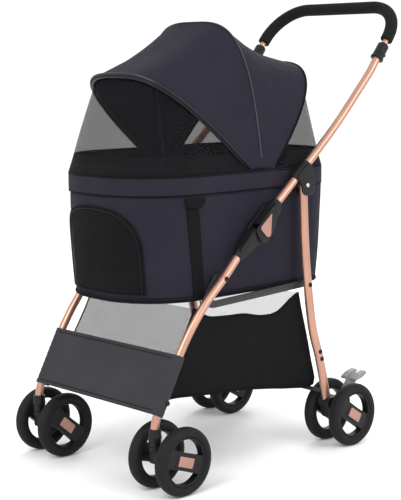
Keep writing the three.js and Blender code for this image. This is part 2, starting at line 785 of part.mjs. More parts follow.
// A mesh window between one bow and the carrier's rim below it.
function makeScreen(name, bow, rimPoint, margin) {
  const turns = evenTurns(20, margin);
  const centre = new THREE.Vector3(0, 0, rimTop + 20);
  const rows = [0, 0.25, 0.5, 0.75, 1];
  const edge = turns.map((turn) => [rimPoint(turn), bowPoint(bow, turn, -6.5)]);
  const outer = rows.map((share) => edge.map(([low, high]) => low.clone().lerp(high, share)));
  const inward = (p) => p.clone().add(centre.clone().sub(p).normalize().multiplyScalar(1.5));
  const inner = outer.map((row) => row.map(inward));
  addPart(name, gridSkin(outer, inner), 'blackMesh');
}

function makeScreens() {
  const rimPath = (length, radius) => (turn) => {
    const halfWidth = carrierBack.halfWidth - 7;
    const [c, s] = [Math.cos(turn), Math.sin(turn)];
    const x = halfWidth * Math.sign(c) * Math.abs(c) ** (2 / radius);
    return new THREE.Vector3(x, length * s ** (2 / radius), rimTop + 1.5);
  };
  makeScreen('front_screen', frontBowShape, rimPath(carrierBack.front + 7, 2.5), 0.16);
  makeScreen('rear_screen', rearBowShape, rimPath(carrierBack.rear - 7, 3), 0.3);
}

makeFrontLegs();
makeFoldHousings();
makeFoldLatches();
makePushTubes();
makeLegBrackets();
makeHandleCollars();
makeHandle();
makeRearLegs();
makeRearBrackets();
makeBrakePedals();
makeAxles();
makeCasters();
makeWheels();
makeSideRails();
makeCrossBars();
makeFrontPanel();
makeBasket();
makeCarrierShell();
makeCarrierInside();
makeFrontDoor();
makeRearPocket();
makeBows();
makeCanopyCover();
makeScreens();

export default group;
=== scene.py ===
# %% [markdown]
# # A folding pet stroller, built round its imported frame
# The stroller is a rose-gold tube frame on four pairs of small wheels. It carries a
# charcoal fabric cabin with mesh windows, a hooped canopy and a basket below.
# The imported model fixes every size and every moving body. This script dresses it:
# hard parts are swept, turned or cut from plates, and soft parts are curved sheets.
# %% Load the frame
import math

import bmesh
import bpy
import numpy as np
from mathutils import Matrix, Vector


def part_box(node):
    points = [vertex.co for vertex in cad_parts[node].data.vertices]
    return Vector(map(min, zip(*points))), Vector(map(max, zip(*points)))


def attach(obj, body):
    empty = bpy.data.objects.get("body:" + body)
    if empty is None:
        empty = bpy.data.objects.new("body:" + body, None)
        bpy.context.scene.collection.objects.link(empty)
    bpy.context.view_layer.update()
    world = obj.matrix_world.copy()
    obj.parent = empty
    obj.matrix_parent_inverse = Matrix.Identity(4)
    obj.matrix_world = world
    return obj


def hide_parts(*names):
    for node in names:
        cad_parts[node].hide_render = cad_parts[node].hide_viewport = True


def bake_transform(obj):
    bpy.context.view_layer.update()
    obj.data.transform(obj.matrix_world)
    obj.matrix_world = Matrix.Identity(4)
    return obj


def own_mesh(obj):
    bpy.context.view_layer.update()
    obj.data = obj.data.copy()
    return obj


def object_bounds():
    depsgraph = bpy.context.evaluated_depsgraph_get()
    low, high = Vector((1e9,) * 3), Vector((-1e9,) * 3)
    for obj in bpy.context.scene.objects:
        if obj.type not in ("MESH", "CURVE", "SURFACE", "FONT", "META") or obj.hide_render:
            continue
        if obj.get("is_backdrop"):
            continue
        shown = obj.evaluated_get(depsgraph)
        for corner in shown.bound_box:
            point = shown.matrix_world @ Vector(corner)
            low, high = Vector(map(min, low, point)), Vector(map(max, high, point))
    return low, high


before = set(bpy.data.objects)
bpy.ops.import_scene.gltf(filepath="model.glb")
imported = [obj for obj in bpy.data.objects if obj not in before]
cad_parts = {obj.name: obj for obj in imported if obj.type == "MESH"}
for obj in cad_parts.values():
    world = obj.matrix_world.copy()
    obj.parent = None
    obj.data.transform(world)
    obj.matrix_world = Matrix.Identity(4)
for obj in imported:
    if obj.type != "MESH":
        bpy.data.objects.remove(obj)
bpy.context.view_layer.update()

# %% [markdown]
# ## A ruler
# A frame like this is easiest to describe from the point on the floor midway between
# the axles, in millimetres, with the front towards -Y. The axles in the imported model
# say where that point is, so one function turns such a place into the model's metres.
# %% The ruler
MM = 0.001


def middle_of(node):
    low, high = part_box(node)
    return (low + high) / 2


AXLE_MIDDLE_Y = (middle_of("front_axle_left").y + middle_of("rear_axle_left").y) / 2
SIDE_X = 1000 * middle_of("front_axle_left").x
SIDES = {"left": 1, "right": -1}


def at(x, y, z):
    return Vector((x * MM, y * MM + AXLE_MIDDLE_Y, z * MM))


def many_at(points):
    return np.array([at(*p) for p in points], float)


print("side plane at", round(SIDE_X, 1), "mm")

# %% [markdown]
# ## Camera
# A long lens from a little above the canopy keeps the frame's lines nearly parallel.
# The camera stands off the front left corner, so the front, one whole side and the
# push handle all show.
# %% Camera
CAMERA_PLACE = at(2067, -1907, 825)
CAMERA_TURN = math.radians(47.16)
CAMERA_DROP = math.radians(8.01)
CAMERA_ROLL = math.radians(-0.43)
camera_data = bpy.data.cameras.new("camera")
camera_data.lens = 96.4
camera_data.sensor_width = 36
camera_data.sensor_fit = "AUTO"
camera = bpy.data.objects.new("camera", camera_data)
bpy.context.scene.collection.objects.link(camera)
aim = Matrix.Rotation(CAMERA_TURN, 4, "Z") @ Matrix.Rotation(math.pi / 2 - CAMERA_DROP, 4, "X")
camera.matrix_world = Matrix.Translation(CAMERA_PLACE) @ aim @ Matrix.Rotation(CAMERA_ROLL, 4, "Z")
bpy.context.scene.camera = camera

# %% [markdown]
# ## Floor and light
# Plain studio light suits dark fabric: a bright dome all round, one broad lamp high in
# front and one from the pusher's side, over a pale floor that takes a soft shadow.
# %% Floor and light
FLOOR_HALF = 6.0
floor_mesh = bpy.data.meshes.new("studio_floor")
floor_mesh.from_pydata(
    [(-FLOOR_HALF, -FLOOR_HALF, 0), (FLOOR_HALF, -FLOOR_HALF, 0),
     (FLOOR_HALF, FLOOR_HALF, 0), (-FLOOR_HALF, FLOOR_HALF, 0)],
    [], [(0, 1, 2, 3)],
)
floor = bpy.data.objects.new("studio_floor", floor_mesh)
bpy.context.scene.collection.objects.link(floor)
floor_finish = bpy.data.materials.new("studio_floor")
floor_finish.use_nodes = True
floor_shader = floor_finish.node_tree.nodes["Principled BSDF"]
floor_shader.inputs["Base Color"].default_value = (0.97, 0.97, 0.97, 1)
floor_shader.inputs["Roughness"].default_value = 0.75
floor.data.materials.append(floor_finish)
floor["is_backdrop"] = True


def add_lamp(name, place, target, size, power):
    data = bpy.data.lights.new(name, "AREA")
    data.shape = "DISK"
    data.size = size
    data.energy = power
    lamp = bpy.data.objects.new(name, data)
    bpy.context.scene.collection.objects.link(lamp)
    lamp.location = place
    lamp.rotation_euler = (Vector(target) - Vector(place)).to_track_quat("-Z", "Y").to_euler()


add_lamp("key_lamp", (0.9, -2.6, 2.6), (0, 0, 0.5), 1.6, 48)
add_lamp("side_lamp", (2.8, 0.6, 1.9), (0, 0, 0.5), 1.8, 34)
add_lamp("back_lamp", (-1.8, 2.4, 2.2), (0, 0, 0.6), 1.4, 26)
world = bpy.data.worlds.new("studio")
world.use_nodes = True
world.node_tree.nodes["Background"].inputs["Color"].default_value = (1, 1, 1, 1)
world.node_tree.nodes["Background"].inputs["Strength"].default_value = 1.08
bpy.context.scene.world = world
bpy.context.scene.view_settings.view_transform = "Standard"

# %% [markdown]
# ## Finishes
# Every finish is one Principled shader with small procedural detail in object space.
# Grain, weave and foam cells are far smaller than the pieces, so noise and wave
# textures at the right scale give them. A slow noise on top keeps any large surface
# from being one flat colour.
# %% Finish helpers
finishes = {}


def start_finish(name, color, roughness, metallic=0.0):
    material = bpy.data.materials.new(name)
    material.use_nodes = True
    tree = material.node_tree
    shader = tree.nodes["Principled BSDF"]
    shader.inputs["Base Color"].default_value = (*color, 1)
    shader.inputs["Roughness"].default_value = roughness
    shader.inputs["Metallic"].default_value = metallic
    finishes[name] = material
    return tree, shader


def object_place(tree):
    return tree.nodes.new("ShaderNodeTexCoord").outputs["Object"]


def noise_on(tree, scale, detail=2.0, roughness=0.5):
    node = tree.nodes.new("ShaderNodeTexNoise")
    node.inputs["Scale"].default_value = scale
    node.inputs["Detail"].default_value = detail
    node.inputs["Roughness"].default_value = roughness
    tree.links.new(object_place(tree), node.inputs["Vector"])
    return node.outputs["Fac"]


def vary_color(tree, shader, color, fac, spread):
    ramp = tree.nodes.new("ShaderNodeValToRGB")
    ramp.color_ramp.elements[0].position = 0.3
    ramp.color_ramp.elements[1].position = 0.7
    ramp.color_ramp.elements[0].color = (*[c * (1 - spread) for c in color], 1)
    ramp.color_ramp.elements[1].color = (*[c * (1 + spread) for c in color], 1)
    tree.links.new(fac, ramp.inputs["Fac"])
    tree.links.new(ramp.outputs["Color"], shader.inputs["Base Color"])


def vary_roughness(tree, shader, fac, low, high):
    span = tree.nodes.new("ShaderNodeMapRange")
    span.inputs["To Min"].default_value = low
    span.inputs["To Max"].default_value = high
    tree.links.new(fac, span.inputs["Value"])
    tree.links.new(span.outputs["Result"], shader.inputs["Roughness"])


def add_bump(tree, shader, height, strength, depth):
    bump = tree.nodes.new("ShaderNodeBump")
    bump.inputs["Strength"].default_value = strength
    bump.inputs["Distance"].default_value = depth
    tree.links.new(height, bump.inputs["Height"])
    tree.links.new(bump.outputs["Normal"], shader.inputs["Normal"])


# %% Metals and plastics
def make_metal(name, color, low, high, metallic=0.85):
    tree, shader = start_finish(name, color, low, metallic)
    slow = noise_on(tree, 14, 3)
    vary_color(tree, shader, color, slow, 0.06)
    vary_roughness(tree, shader, noise_on(tree, 90, 4, 0.65), low, high)
    add_bump(tree, shader, noise_on(tree, 700, 2), 0.06, 0.0002)


def make_plastic(name, color, roughness, grain, strength):
    tree, shader = start_finish(name, color, roughness, 0)
    shader.inputs["Specular IOR Level"].default_value = 0.22
    vary_color(tree, shader, color, noise_on(tree, 20, 3), 0.12)
    vary_roughness(tree, shader, noise_on(tree, 60, 4, 0.6), roughness - 0.06, roughness + 0.1)
    add_bump(tree, shader, noise_on(tree, grain, 2), strength, 0.0003)
    return shader


make_metal("copper_tube", (0.50, 0.275, 0.205), 0.28, 0.42)
make_metal("copper_plate", (0.40, 0.225, 0.18), 0.34, 0.48, metallic=0.7)
make_metal("steel", (0.55, 0.55, 0.56), 0.25, 0.4, metallic=1.0)
make_metal("black_metal", (0.016, 0.016, 0.018), 0.35, 0.5, metallic=0.2)
make_plastic("black_plastic", (0.0075, 0.0075, 0.0085), 0.42, 1600, 0.22)
make_plastic("hoop_rod", (0.010, 0.010, 0.012), 0.3, 900, 0.08)
make_plastic("grey_plastic", (0.225, 0.225, 0.225), 0.45, 1500, 0.22)
make_plastic("foam", (0.005, 0.005, 0.0055), 0.86, 1100, 0.55)
make_plastic("wheel_rubber", (0.0065, 0.0065, 0.0075), 0.66, 1300, 0.3)
make_plastic("board", (0.02, 0.02, 0.022), 0.7, 700, 0.3)
print("hard finishes:", sorted(finishes))


# %% Fabric weave
# Two crossing sets of threads: one varies along the wall, the other up the wall.
def weave_on(tree, threads):
    waves = []
    place = object_place(tree)
    for direction in ((1.0, 1.0, 0.0), (0.7, -0.7, 1.0)):
        along = tree.nodes.new("ShaderNodeVectorMath")
        along.operation = "DOT_PRODUCT"
        along.inputs[1].default_value = tuple(threads * d for d in direction)
        tree.links.new(place, along.inputs[0])
        ripple = tree.nodes.new("ShaderNodeMath")
        ripple.operation = "SINE"
        tree.links.new(along.outputs["Value"], ripple.inputs[0])
        waves.append(ripple.outputs[0])
    both = tree.nodes.new("ShaderNodeMath")
    both.operation = "MULTIPLY"
    tree.links.new(waves[0], both.inputs[0])
    tree.links.new(waves[1], both.inputs[1])
    return both.outputs[0]


def make_fabric(name, color, threads=5200, sheen=0.12, spread=0.1, strength=0.35):
    tree, shader = start_finish(name, color, 0.85, 0)
    shader.inputs["Sheen Weight"].default_value = sheen
    shader.inputs["Sheen Roughness"].default_value = 0.45
    shader.inputs["Specular IOR Level"].default_value = 0.12
    vary_color(tree, shader, color, noise_on(tree, 9, 4, 0.6), spread)
    vary_roughness(tree, shader, noise_on(tree, 40, 3), 0.72, 0.92)
    add_bump(tree, shader, weave_on(tree, threads), strength, 0.0004)
    return tree, shader


make_fabric("charcoal_fabric", (0.0165, 0.0145, 0.0245), sheen=0.015)
make_fabric("panel_fabric", (0.034, 0.033, 0.0375), threads=4200, sheen=0.06)
make_fabric("dark_lining", (0.006, 0.006, 0.007), sheen=0.0)
make_fabric("grey_backing", (0.07, 0.067, 0.074), sheen=0.05)
make_fabric("binding", (0.0035, 0.0035, 0.0045), threads=6500, sheen=0.0)
make_fabric("webbing", (0.0045, 0.0045, 0.0055), threads=3600, sheen=0.0,
            strength=0.6)
make_fabric("plush", (0.13, 0.125, 0.14), threads=1800, sheen=0.5, strength=0.7)
make_fabric("basket_fabric", (0.0045, 0.0045, 0.0055), threads=4200, sheen=0.0,
            strength=0.5)


# %% Open mesh
# Fine knitted mesh is half holes. The holes are too small to model, so the weave also
# opens the surface: alpha swings between thread and hole.
def make_mesh(name, color, low, high, threads=3600):
    tree, shader = make_fabric(name, color, threads=threads, sheen=0.0, strength=0.5)
    span = tree.nodes.new("ShaderNodeMapRange")
    span.inputs["From Min"].default_value = -1
    span.inputs["To Min"].default_value = low
    span.inputs["To Max"].default_value = high
    tree.links.new(weave_on(tree, threads), span.inputs["Value"])
    tree.links.new(span.outputs["Result"], shader.inputs["Alpha"])


make_mesh("black_mesh", (0.006, 0.006, 0.007), 0.55, 0.92)
make_mesh("open_mesh", (0.010, 0.010, 0.012), 0.12, 0.6, threads=2600)
make_mesh("basket_net", (0.012, 0.012, 0.014), 0.06, 0.5, threads=1500)
print("all finishes:", len(finishes))

# %% [markdown]
# ## Shape helpers
# Three ways of making a mesh cover the hard parts: a section swept along a line for
# tubes and piping, a profile turned about an axis for wheels and caps, and an outline
# cut from a plate. Each ends in one function that makes the object, softens its sharp
# edges, gives it its finish, hides the imported solids that it stands for, and lets it ride.
# %% Make one piece
def add_piece(name, verts, faces, finish, body=None, instead_of=(), bevel=0.0, crease=40):
    mesh = bpy.data.meshes.new(name)
    mesh.from_pydata([tuple(v) for v in verts], [], [tuple(f) for f in faces])
    work = bmesh.new()
    work.from_mesh(mesh)
    bmesh.ops.remove_doubles(work, verts=work.verts, dist=1e-6)
    bmesh.ops.recalc_face_normals(work, faces=work.faces)
    if bevel > 0:
        edges = [e for e in work.edges if len(e.link_faces) == 2
                 and e.calc_face_angle(0) > math.radians(crease)]
        bmesh.ops.bevel(work, geom=edges, offset=bevel * MM, segments=3, profile=0.5,
                        affect="EDGES", clamp_overlap=True)
    work.to_mesh(mesh)
    work.free()
    mesh.shade_smooth()
    mesh.set_sharp_from_angle(angle=math.radians(crease))
    piece = bpy.data.objects.new(name, mesh)
    bpy.context.scene.collection.objects.link(piece)
    mesh.materials.append(finishes[finish])
    if body:
        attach(piece, body)
    if instead_of:
        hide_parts(*instead_of)
    return piece


def smooth_line(points, gap=7.0):
    """Catmull-Rom through points in millimetres, resampled about every gap."""
    p = np.array(points, float)
    ends = np.vstack([2 * p[0] - p[1], p, 2 * p[-1] - p[-2]])
    line = []
    for a, b, c, d in zip(ends, ends[1:], ends[2:], ends[3:]):
        steps = max(2, int(np.linalg.norm(c - b) / gap))
        for k in range(steps):
            t = k / steps
            line.append(0.5 * (2 * b + (c - a) * t + (2 * a - 5 * b + 4 * c - d) * t**2
                               + (3 * b - a - 3 * c + d) * t**3))
    line.append(p[-1])
    return np.array(line)


def swept(line, section, up, closed=False):
    """Sweep a section (pairs: across, along up) in metres along a line in metres."""
    line = np.array(line, float)
    count = len(line)
    ahead = np.roll(line, -1, 0) - np.roll(line, 1, 0)
    if not closed:
        ahead[0], ahead[-1] = line[1] - line[0], line[-1] - line[-2]
    ahead /= np.linalg.norm(ahead, axis=1)[:, None]
    rise = np.broadcast_to(np.array(up, float), line.shape)
    rise = rise - (rise * ahead).sum(1)[:, None] * ahead
    rise /= np.linalg.norm(rise, axis=1)[:, None]
    across = np.cross(ahead, rise)
    section = np.array(section, float)
    if section.ndim == 2:
        section = np.broadcast_to(section, (count, *section.shape))
    verts = line[:, None] + across[:, None] * section[:, :, :1] + rise[:, None] * section[:, :, 1:]
    size = section.shape[1]
    faces = []
    for i in range(count if closed else count - 1):
        j = (i + 1) % count
        for k in range(size):
            m = (k + 1) % size
            faces.append((i * size + k, i * size + m, j * size + m, j * size + k))
    if not closed:
        faces.append(tuple(range(size))[::-1])
        faces.append(tuple((count - 1) * size + k for k in range(size)))
    return verts.reshape(-1, 3), faces


def oval(half_across, half_up, sides=20):
    turns = np.linspace(0, 2 * math.pi, sides, endpoint=False)
    return np.column_stack([half_across * MM * np.cos(turns), half_up * MM * np.sin(turns)])


def turned(profile, place, axis, sides=40):
    """Turn (radius, height) pairs in millimetres about an axis through a place."""
    profile = np.array(profile, float) * MM
    turns = np.linspace(0, 2 * math.pi, sides, endpoint=False)
    rows = len(profile)
    ring = np.array([[(r * math.cos(t), r * math.sin(t), h) for r, h in profile] for t in turns])
    turn = Vector((0, 0, 1)).rotation_difference(Vector(axis)).to_matrix()
    verts = ring.reshape(-1, 3) @ np.array(turn).T + np.array(place)
    faces = []
    for i in range(sides):
        j = (i + 1) % sides
        for k in range(rows - 1):
            faces.append((i * rows + k, j * rows + k, j * rows + k + 1, i * rows + k + 1))
        if profile[0][0] > 0 or profile[-1][0] > 0:
            faces.append((i * rows + rows - 1, j * rows + rows - 1, j * rows, i * rows))
    return verts, [f for f in faces if len(set(f)) > 2]


def plate(outline, x_low, x_high):
    """An outline of (y, z) pairs in millimetres, thick from one X to another."""
    low = [at(x_low, y, z) for y, z in outline]
    high = [at(x_high, y, z) for y, z in outline]
    n = len(outline)
    faces = [tuple(range(n)), tuple(range(2 * n - 1, n - 1, -1))]
    faces += [(k, (k + 1) % n, n + (k + 1) % n, n + k) for k in range(n)]
    return low + high, faces


def rounded(corners, radius, steps=5):
    """Replace each corner of an outline by a short arc of about that radius."""
    points = np.array(corners, float)
    out = []
    for before, here, after in zip(np.roll(points, 1, 0), points, np.roll(points, -1, 0)):
        reach = min(radius, 0.45 * np.linalg.norm(before - here), 0.45 * np.linalg.norm(after - here))
        start = here + (before - here) / np.linalg.norm(before - here) * reach
        end = here + (after - here) / np.linalg.norm(after - here) * reach
        for k in range(steps + 1):
            t = k / steps
            out.append(tuple((1 - t) ** 2 * start + 2 * t * (1 - t) * here + t**2 * end))
    return out


def combined(*parts):
    verts, faces = [], []
    for v, f in parts:
        base = len(verts)
        verts.extend([tuple(p) for p in v])
        faces.extend([tuple(base + k for k in face) for face in f])
    return verts, faces


# %% Fastenings
# A low dome with a hex socket is the usual frame bolt.
def bolt_head(x, y, z, side, radius=5.2, height=2.6):
    dome = [(0, height * 0.55), (radius * 0.42, height * 0.55), (radius * 0.45, height),
            (radius * 0.8, height * 0.85), (radius, height * 0.35), (radius, 0), (0, 0)]
    return turned(dome, at(x, y, z), (side, 0, 0), 24)


# %% [markdown]
# ## Frame tubes
# Each side of the frame has three tubes in one upright plane: a front leg that bends
# down to its caster, a push tube that rises to the handle, and a flattened oval rear
# leg. Sweeping a round section along a smooth line through a few bend points gives a
# drawn tube, with no facets to see.
# %% Where the tubes run
FOLD_Y, FOLD_Z = -1, 476
FOLD_SLOPE = math.radians(42)
HANDLE_SLOPE = math.radians(51.5)
HANDLE_Y, HANDLE_Z = 391, 867


def fold_at(along, square):
    c, s = math.cos(FOLD_SLOPE), math.sin(FOLD_SLOPE)
    return FOLD_Y + along * c - square * s, FOLD_Z + along * s + square * c


def handle_at(along, square=0):
    c, s = math.cos(HANDLE_SLOPE), math.sin(HANDLE_SLOPE)
    return HANDLE_Y + along * c - square * s, HANDLE_Z + along * s + square * c


TUBE = 8.5
PANEL_TOP = (-222, 262)
PANEL_RUN = (-0.473, -0.881)


def panel_at(down, out=0.0):
    return (PANEL_TOP[0] + PANEL_RUN[0] * down + PANEL_RUN[1] * out,
            PANEL_TOP[1] + PANEL_RUN[1] * down - PANEL_RUN[0] * out)


FRONT_LEG = [fold_at(-5, 14.4), (-60, 442), (-101, 401), (-150, 357), (-190, 310), PANEL_TOP,
             panel_at(60), panel_at(116), (-283.5, 142), (-285, 131), (-285, 110)]
PUSH_TUBE = [fold_at(14, 14.4), fold_at(46, 14.4), (102, 582), (121, 598), (180, 647), (235, 696),
             (298, 759), handle_at(-86), handle_at(-64), handle_at(-42), handle_at(-21)]
REAR_LEG = [(128, 573), (130, 520), (134, 450), (141, 378), (158, 268), (181, 196), (207, 96)]


def in_side(points, x):
    return [(x, y, z) for y, z in points]


# %% Sweep the tubes
for word, side in SIDES.items():
    x = side * SIDE_X
    for name, points, section, body in (
        ("front_leg", FRONT_LEG, oval(TUBE, TUBE, 24), "front_frame"),
        ("push_tube", PUSH_TUBE, oval(TUBE, TUBE, 24), "push_frame"),
        ("rear_leg", REAR_LEG, oval(10.5, 8, 24), "rear_frame"),
    ):
        line = many_at(smooth_line(in_side(points, x)))
        verts, faces = swept(line, section, (1, 0, 0))
        if name == "rear_leg":
            eye = turned([(0, -8), (9.6, -8), (10.5, -7), (10.5, 7), (9.6, 8), (0, 8)],
                         at(x, 128, 573), (1, 0, 0), 28)
            verts, faces = combined((verts, faces), eye)
        add_piece(f"{name}_{word}_tube", verts, faces, "copper_tube", body, [f"{name}_{word}"])
    print(word, "tubes swept")

# %% [markdown]
# ## Push handle
# The handle is one narrower tube bent into a U. It slides in the push tubes, and a
# black foam sleeve covers all of its loop. Two collars with spring buttons lock it.
# %% Handle
HANDLE_DEPTH = 96
HANDLE_CORNER = 88


def handle_line(below):
    points = [(SIDE_X, *handle_at(t)) for t in np.linspace(-below, HANDLE_DEPTH - HANDLE_CORNER, 5)]
    centre = SIDE_X - HANDLE_CORNER
    for turn in np.radians(np.linspace(9, 90, 12)):
        t = HANDLE_DEPTH - HANDLE_CORNER + HANDLE_CORNER * math.sin(turn)
        points.append((centre + HANDLE_CORNER * math.cos(turn), *handle_at(t)))
    half = points + [(x, *handle_at(HANDLE_DEPTH)) for x in (60, 0)]
    return half + [(-x, y, z) for x, y, z in half[-2::-1]]


square_to_handle = (0, -math.sin(HANDLE_SLOPE), math.cos(HANDLE_SLOPE))
bar = swept(many_at(smooth_line(handle_line(52))), oval(6.8, 6.8, 20), square_to_handle)
add_piece("handle_bar_tube", *bar, "copper_tube", "handle", ["handle_bar"])
grip_line = many_at(smooth_line(handle_line(0), 5))
ends = np.minimum(np.arange(len(grip_line)), np.arange(len(grip_line))[::-1])
grip_radius = 13.5 - 2.2 * np.clip(1 - ends / 1.6, 0, 1) ** 2
grip_section = np.array([oval(r, r, 28) for r in grip_radius])
add_piece("handle_grip_foam", *swept(grip_line, grip_section, square_to_handle), "foam", "handle",
          ["handle_grip"], crease=60)


# %% Collars and buttons
COLLAR = [(8.9, -50), (13.4, -50), (14.5, -49), (14.5, -47), (13.6, -46), (12.5, -43), (12.6, -16),
          (12.0, -13.4), (10.8, -12), (7.2, -12), (7.2, -19), (8.9, -20)]
for word, side in SIDES.items():
    x = side * SIDE_X
    along_handle = (0, math.cos(HANDLE_SLOPE), math.sin(HANDLE_SLOPE))
    foot = at(x, HANDLE_Y, HANDLE_Z)
    collar = turned(COLLAR, foot, along_handle, 36)
    ribs = [turned([(12.4, h), (13.0, h + 0.4), (13.0, h + 1.2), (12.4, h + 1.6)], foot, along_handle, 36)
            for h in (-42, -38.5)]
    add_piece(f"collar_{word}", *combined(collar, *ribs), "black_plastic", "push_frame",
              [f"handle_collar_{word}"], crease=50)
    out = (0, math.sin(HANDLE_SLOPE), -math.cos(HANDLE_SLOPE))
    button = turned([(0, 12.2), (5, 12.2), (5, 15.4), (4.2, 16.4), (2.5, 16.1), (0, 15.9)],
                    at(x, *handle_at(-30)), out, 28)
    add_piece(f"button_{word}", *button, "black_plastic", f"handle_button_{word}",
              [f"handle_button_{word}"], crease=50)
print("handle made")

# %% [markdown]
# ## Fold joint
# Below the carrier's middle each side tube breaks at a hinge, so the push frame swings
# back and down. The two housings are moulded: a slim sleeve round the tube and a broad
# belly that holds the pin, with the copper release on its outer face. Plates with
# rounded outlines and softened edges, joined to swept sleeves, give that shape.
# %% Fold housings
def fold_outline(pairs, radius):
    return rounded([fold_at(*pair) for pair in pairs], radius)


LOWER_BELLY = [(-1, 26), (-56, 26), (-66, 23), (-66, 5), (-52, 3), (-20, -2), (-10, -10), (0, -11),
               (8, -8), (10, 0), (8, 7), (-1, 12)]
UPPER_BELLY = [(-8, 26.5), (62, 26.5), (75, 22), (75, 7), (62, 3), (48, 0), (30, -10), (16, -13.5),
               (0, -14), (-12, -8), (-13, 2)]
UPPER_CORE = [(12.5, 26), (70, 25), (75, 22), (75, 7), (62, 3), (12.5, 3)]
for word, side in SIDES.items():
    x = side * SIDE_X
    low = combined(
        plate(fold_outline(LOWER_BELLY, 6), x - 11, x + 11),
        swept(many_at([(x, *fold_at(s, 14.4)) for s in (-72, -50, -20, -2)]),
              oval(11.8, 11.6, 24), (1, 0, 0)),
    )
    add_piece(f"fold_lower_{word}", *low, "black_plastic", "front_frame",
              [f"fold_housing_lower_{word}"], bevel=1.4)
    cheeks = [plate(fold_outline(UPPER_BELLY, 7), x + a, x + b) for a, b in ((11.5, 15.5), (-15.5, -11.5))]
    core = plate(fold_outline(UPPER_CORE, 5), x - 12.4, x + 12.4)
    sleeve = swept(many_at([(x, *fold_at(s, 14.4)) for s in (56, 70, 82)]), oval(11.8, 11.6, 24), (1, 0, 0))
    pin = turned([(0, -15), (4, -15), (4, 15), (0, 15)], at(x, FOLD_Y, FOLD_Z), (1, 0, 0), 20)
    add_piece(f"fold_upper_{word}", *combined(*cheeks, core, sleeve, pin), "black_plastic", "push_frame",
              [f"fold_housing_upper_{word}"], bevel=1.2)
    latch = [(45, 21.5), (13, -8.5), (8.5, -8.5), (3, -4), (1.5, 20), (5, 23.5)]
    face = side * 16
    low_x, high_x = sorted((x + face, x + face + side * 2.4))
    add_piece(f"latch_{word}", *plate(fold_outline(latch, 2.4), low_x, high_x), "copper_plate",
              f"fold_latch_{word}", [f"fold_latch_{word}"], bevel=0.7)
print("fold joints made")

# %% [markdown]
# ## Leg brackets
# A black clamp grips the push tube and hangs a round-ended shield over the top of the
# rear leg, with the leg's pivot bolt through it.
# %% Leg brackets
BRACKET_SLOPE = math.radians(39)


def bracket_at(along, square):
    c, s = math.cos(BRACKET_SLOPE), math.sin(BRACKET_SLOPE)
    return 121 + along * c - square * s, 598 + along * s + square * c


SHIELD = [bracket_at(-23, 8), bracket_at(23, 8), bracket_at(25, -8), (153, 572), (150, 556), (139, 549),
          (125, 549), (114, 556), (111, 572), bracket_at(-23, -6)]
for word, side in SIDES.items():
    x = side * SIDE_X
    sleeve = swept(many_at([(x, *bracket_at(s, 0)) for s in (-24, -8, 8, 24)]),
                   oval(12.5, 12.5, 28), (1, 0, 0))
    cheeks = [plate(rounded(SHIELD, 8), x + a, x + b) for a, b in ((9.3, 13.7), (-13.7, -9.3))]
    pin = turned([(0, -13), (4, -13), (4, 13), (0, 13)], at(x, 128, 573), (1, 0, 0), 20)
    rib = swept(many_at([(x, *bracket_at(s, 0)) for s in (-20, -17)]), oval(13.4, 13.4, 28), (1, 0, 0))
    add_piece(f"bracket_{word}", *combined(sleeve, *cheeks, pin, rib), "black_plastic", "push_frame",
              [f"leg_bracket_{word}"], bevel=1.2)
    add_piece(f"bracket_bolt_{word}", *bolt_head(x + side * 13.7, 128, 571, side, 4.6, 2.2), "steel",
              "push_frame", crease=50)
print("leg brackets made")

# %% [markdown]
# ## Rails, cross bars and bolts
# A flat black rail on each side runs inside the tubes under the carrier, from one bolt
# on the front leg to another on the rear leg. Two cross bars tie the sides together.
# %% Rails and bars
RAIL_NEAR, RAIL_FAR = 13.5, 18
RAIL = [(-110, 408), (-96, 410), (-91, 398), (-126, 362), (-112, 355.5), (145, 367.5), (153, 360),
        (145, 352.5),
        (-118, 341.5), (-143, 350), (-146, 358)]
for word, side in SIDES.items():
    x = side * SIDE_X
    low_x, high_x = sorted((x - side * RAIL_FAR, x - side * RAIL_NEAR))
    add_piece(f"rail_{word}", *plate(rounded(RAIL, 7), low_x, high_x), "black_metal", "side_rails",
              [f"side_rail_{word}"], bevel=0.9)
    for name, y, z, body in (("rail_front", -101, 401, "front_frame"),
                             ("rail_rear", 143.5, 360, "rear_frame"),
                             ("leg_mid", 176, 212, "rear_frame"), ("leg_low", 181, 196, "rear_frame")):
        reach = TUBE if name == "rail_front" else 8
        head = bolt_head(x + side * (reach - 0.6), y, z, side)
        add_piece(f"bolt_{name}_{word}", *head, "black_plastic", body, crease=50)
for name, y, z, radius, reach, body in (
    ("front_cross_bar", *panel_at(58), 6, SIDE_X - 8.8, "front_frame"),
    ("rear_cross_bar", 196, 121, 4.5, SIDE_X - 8.3, "rear_frame"),
):
    ends = [(0, -reach), (radius - 0.8, -reach), (radius, 0.8 - reach), (radius, reach - 0.8),
            (radius - 0.8, reach), (0, reach)]
    rod = turned(ends, at(0, y, z), (1, 0, 0), 24)
    add_piece(f"{name}_rod", *rod, "black_metal", body, [name], crease=50)

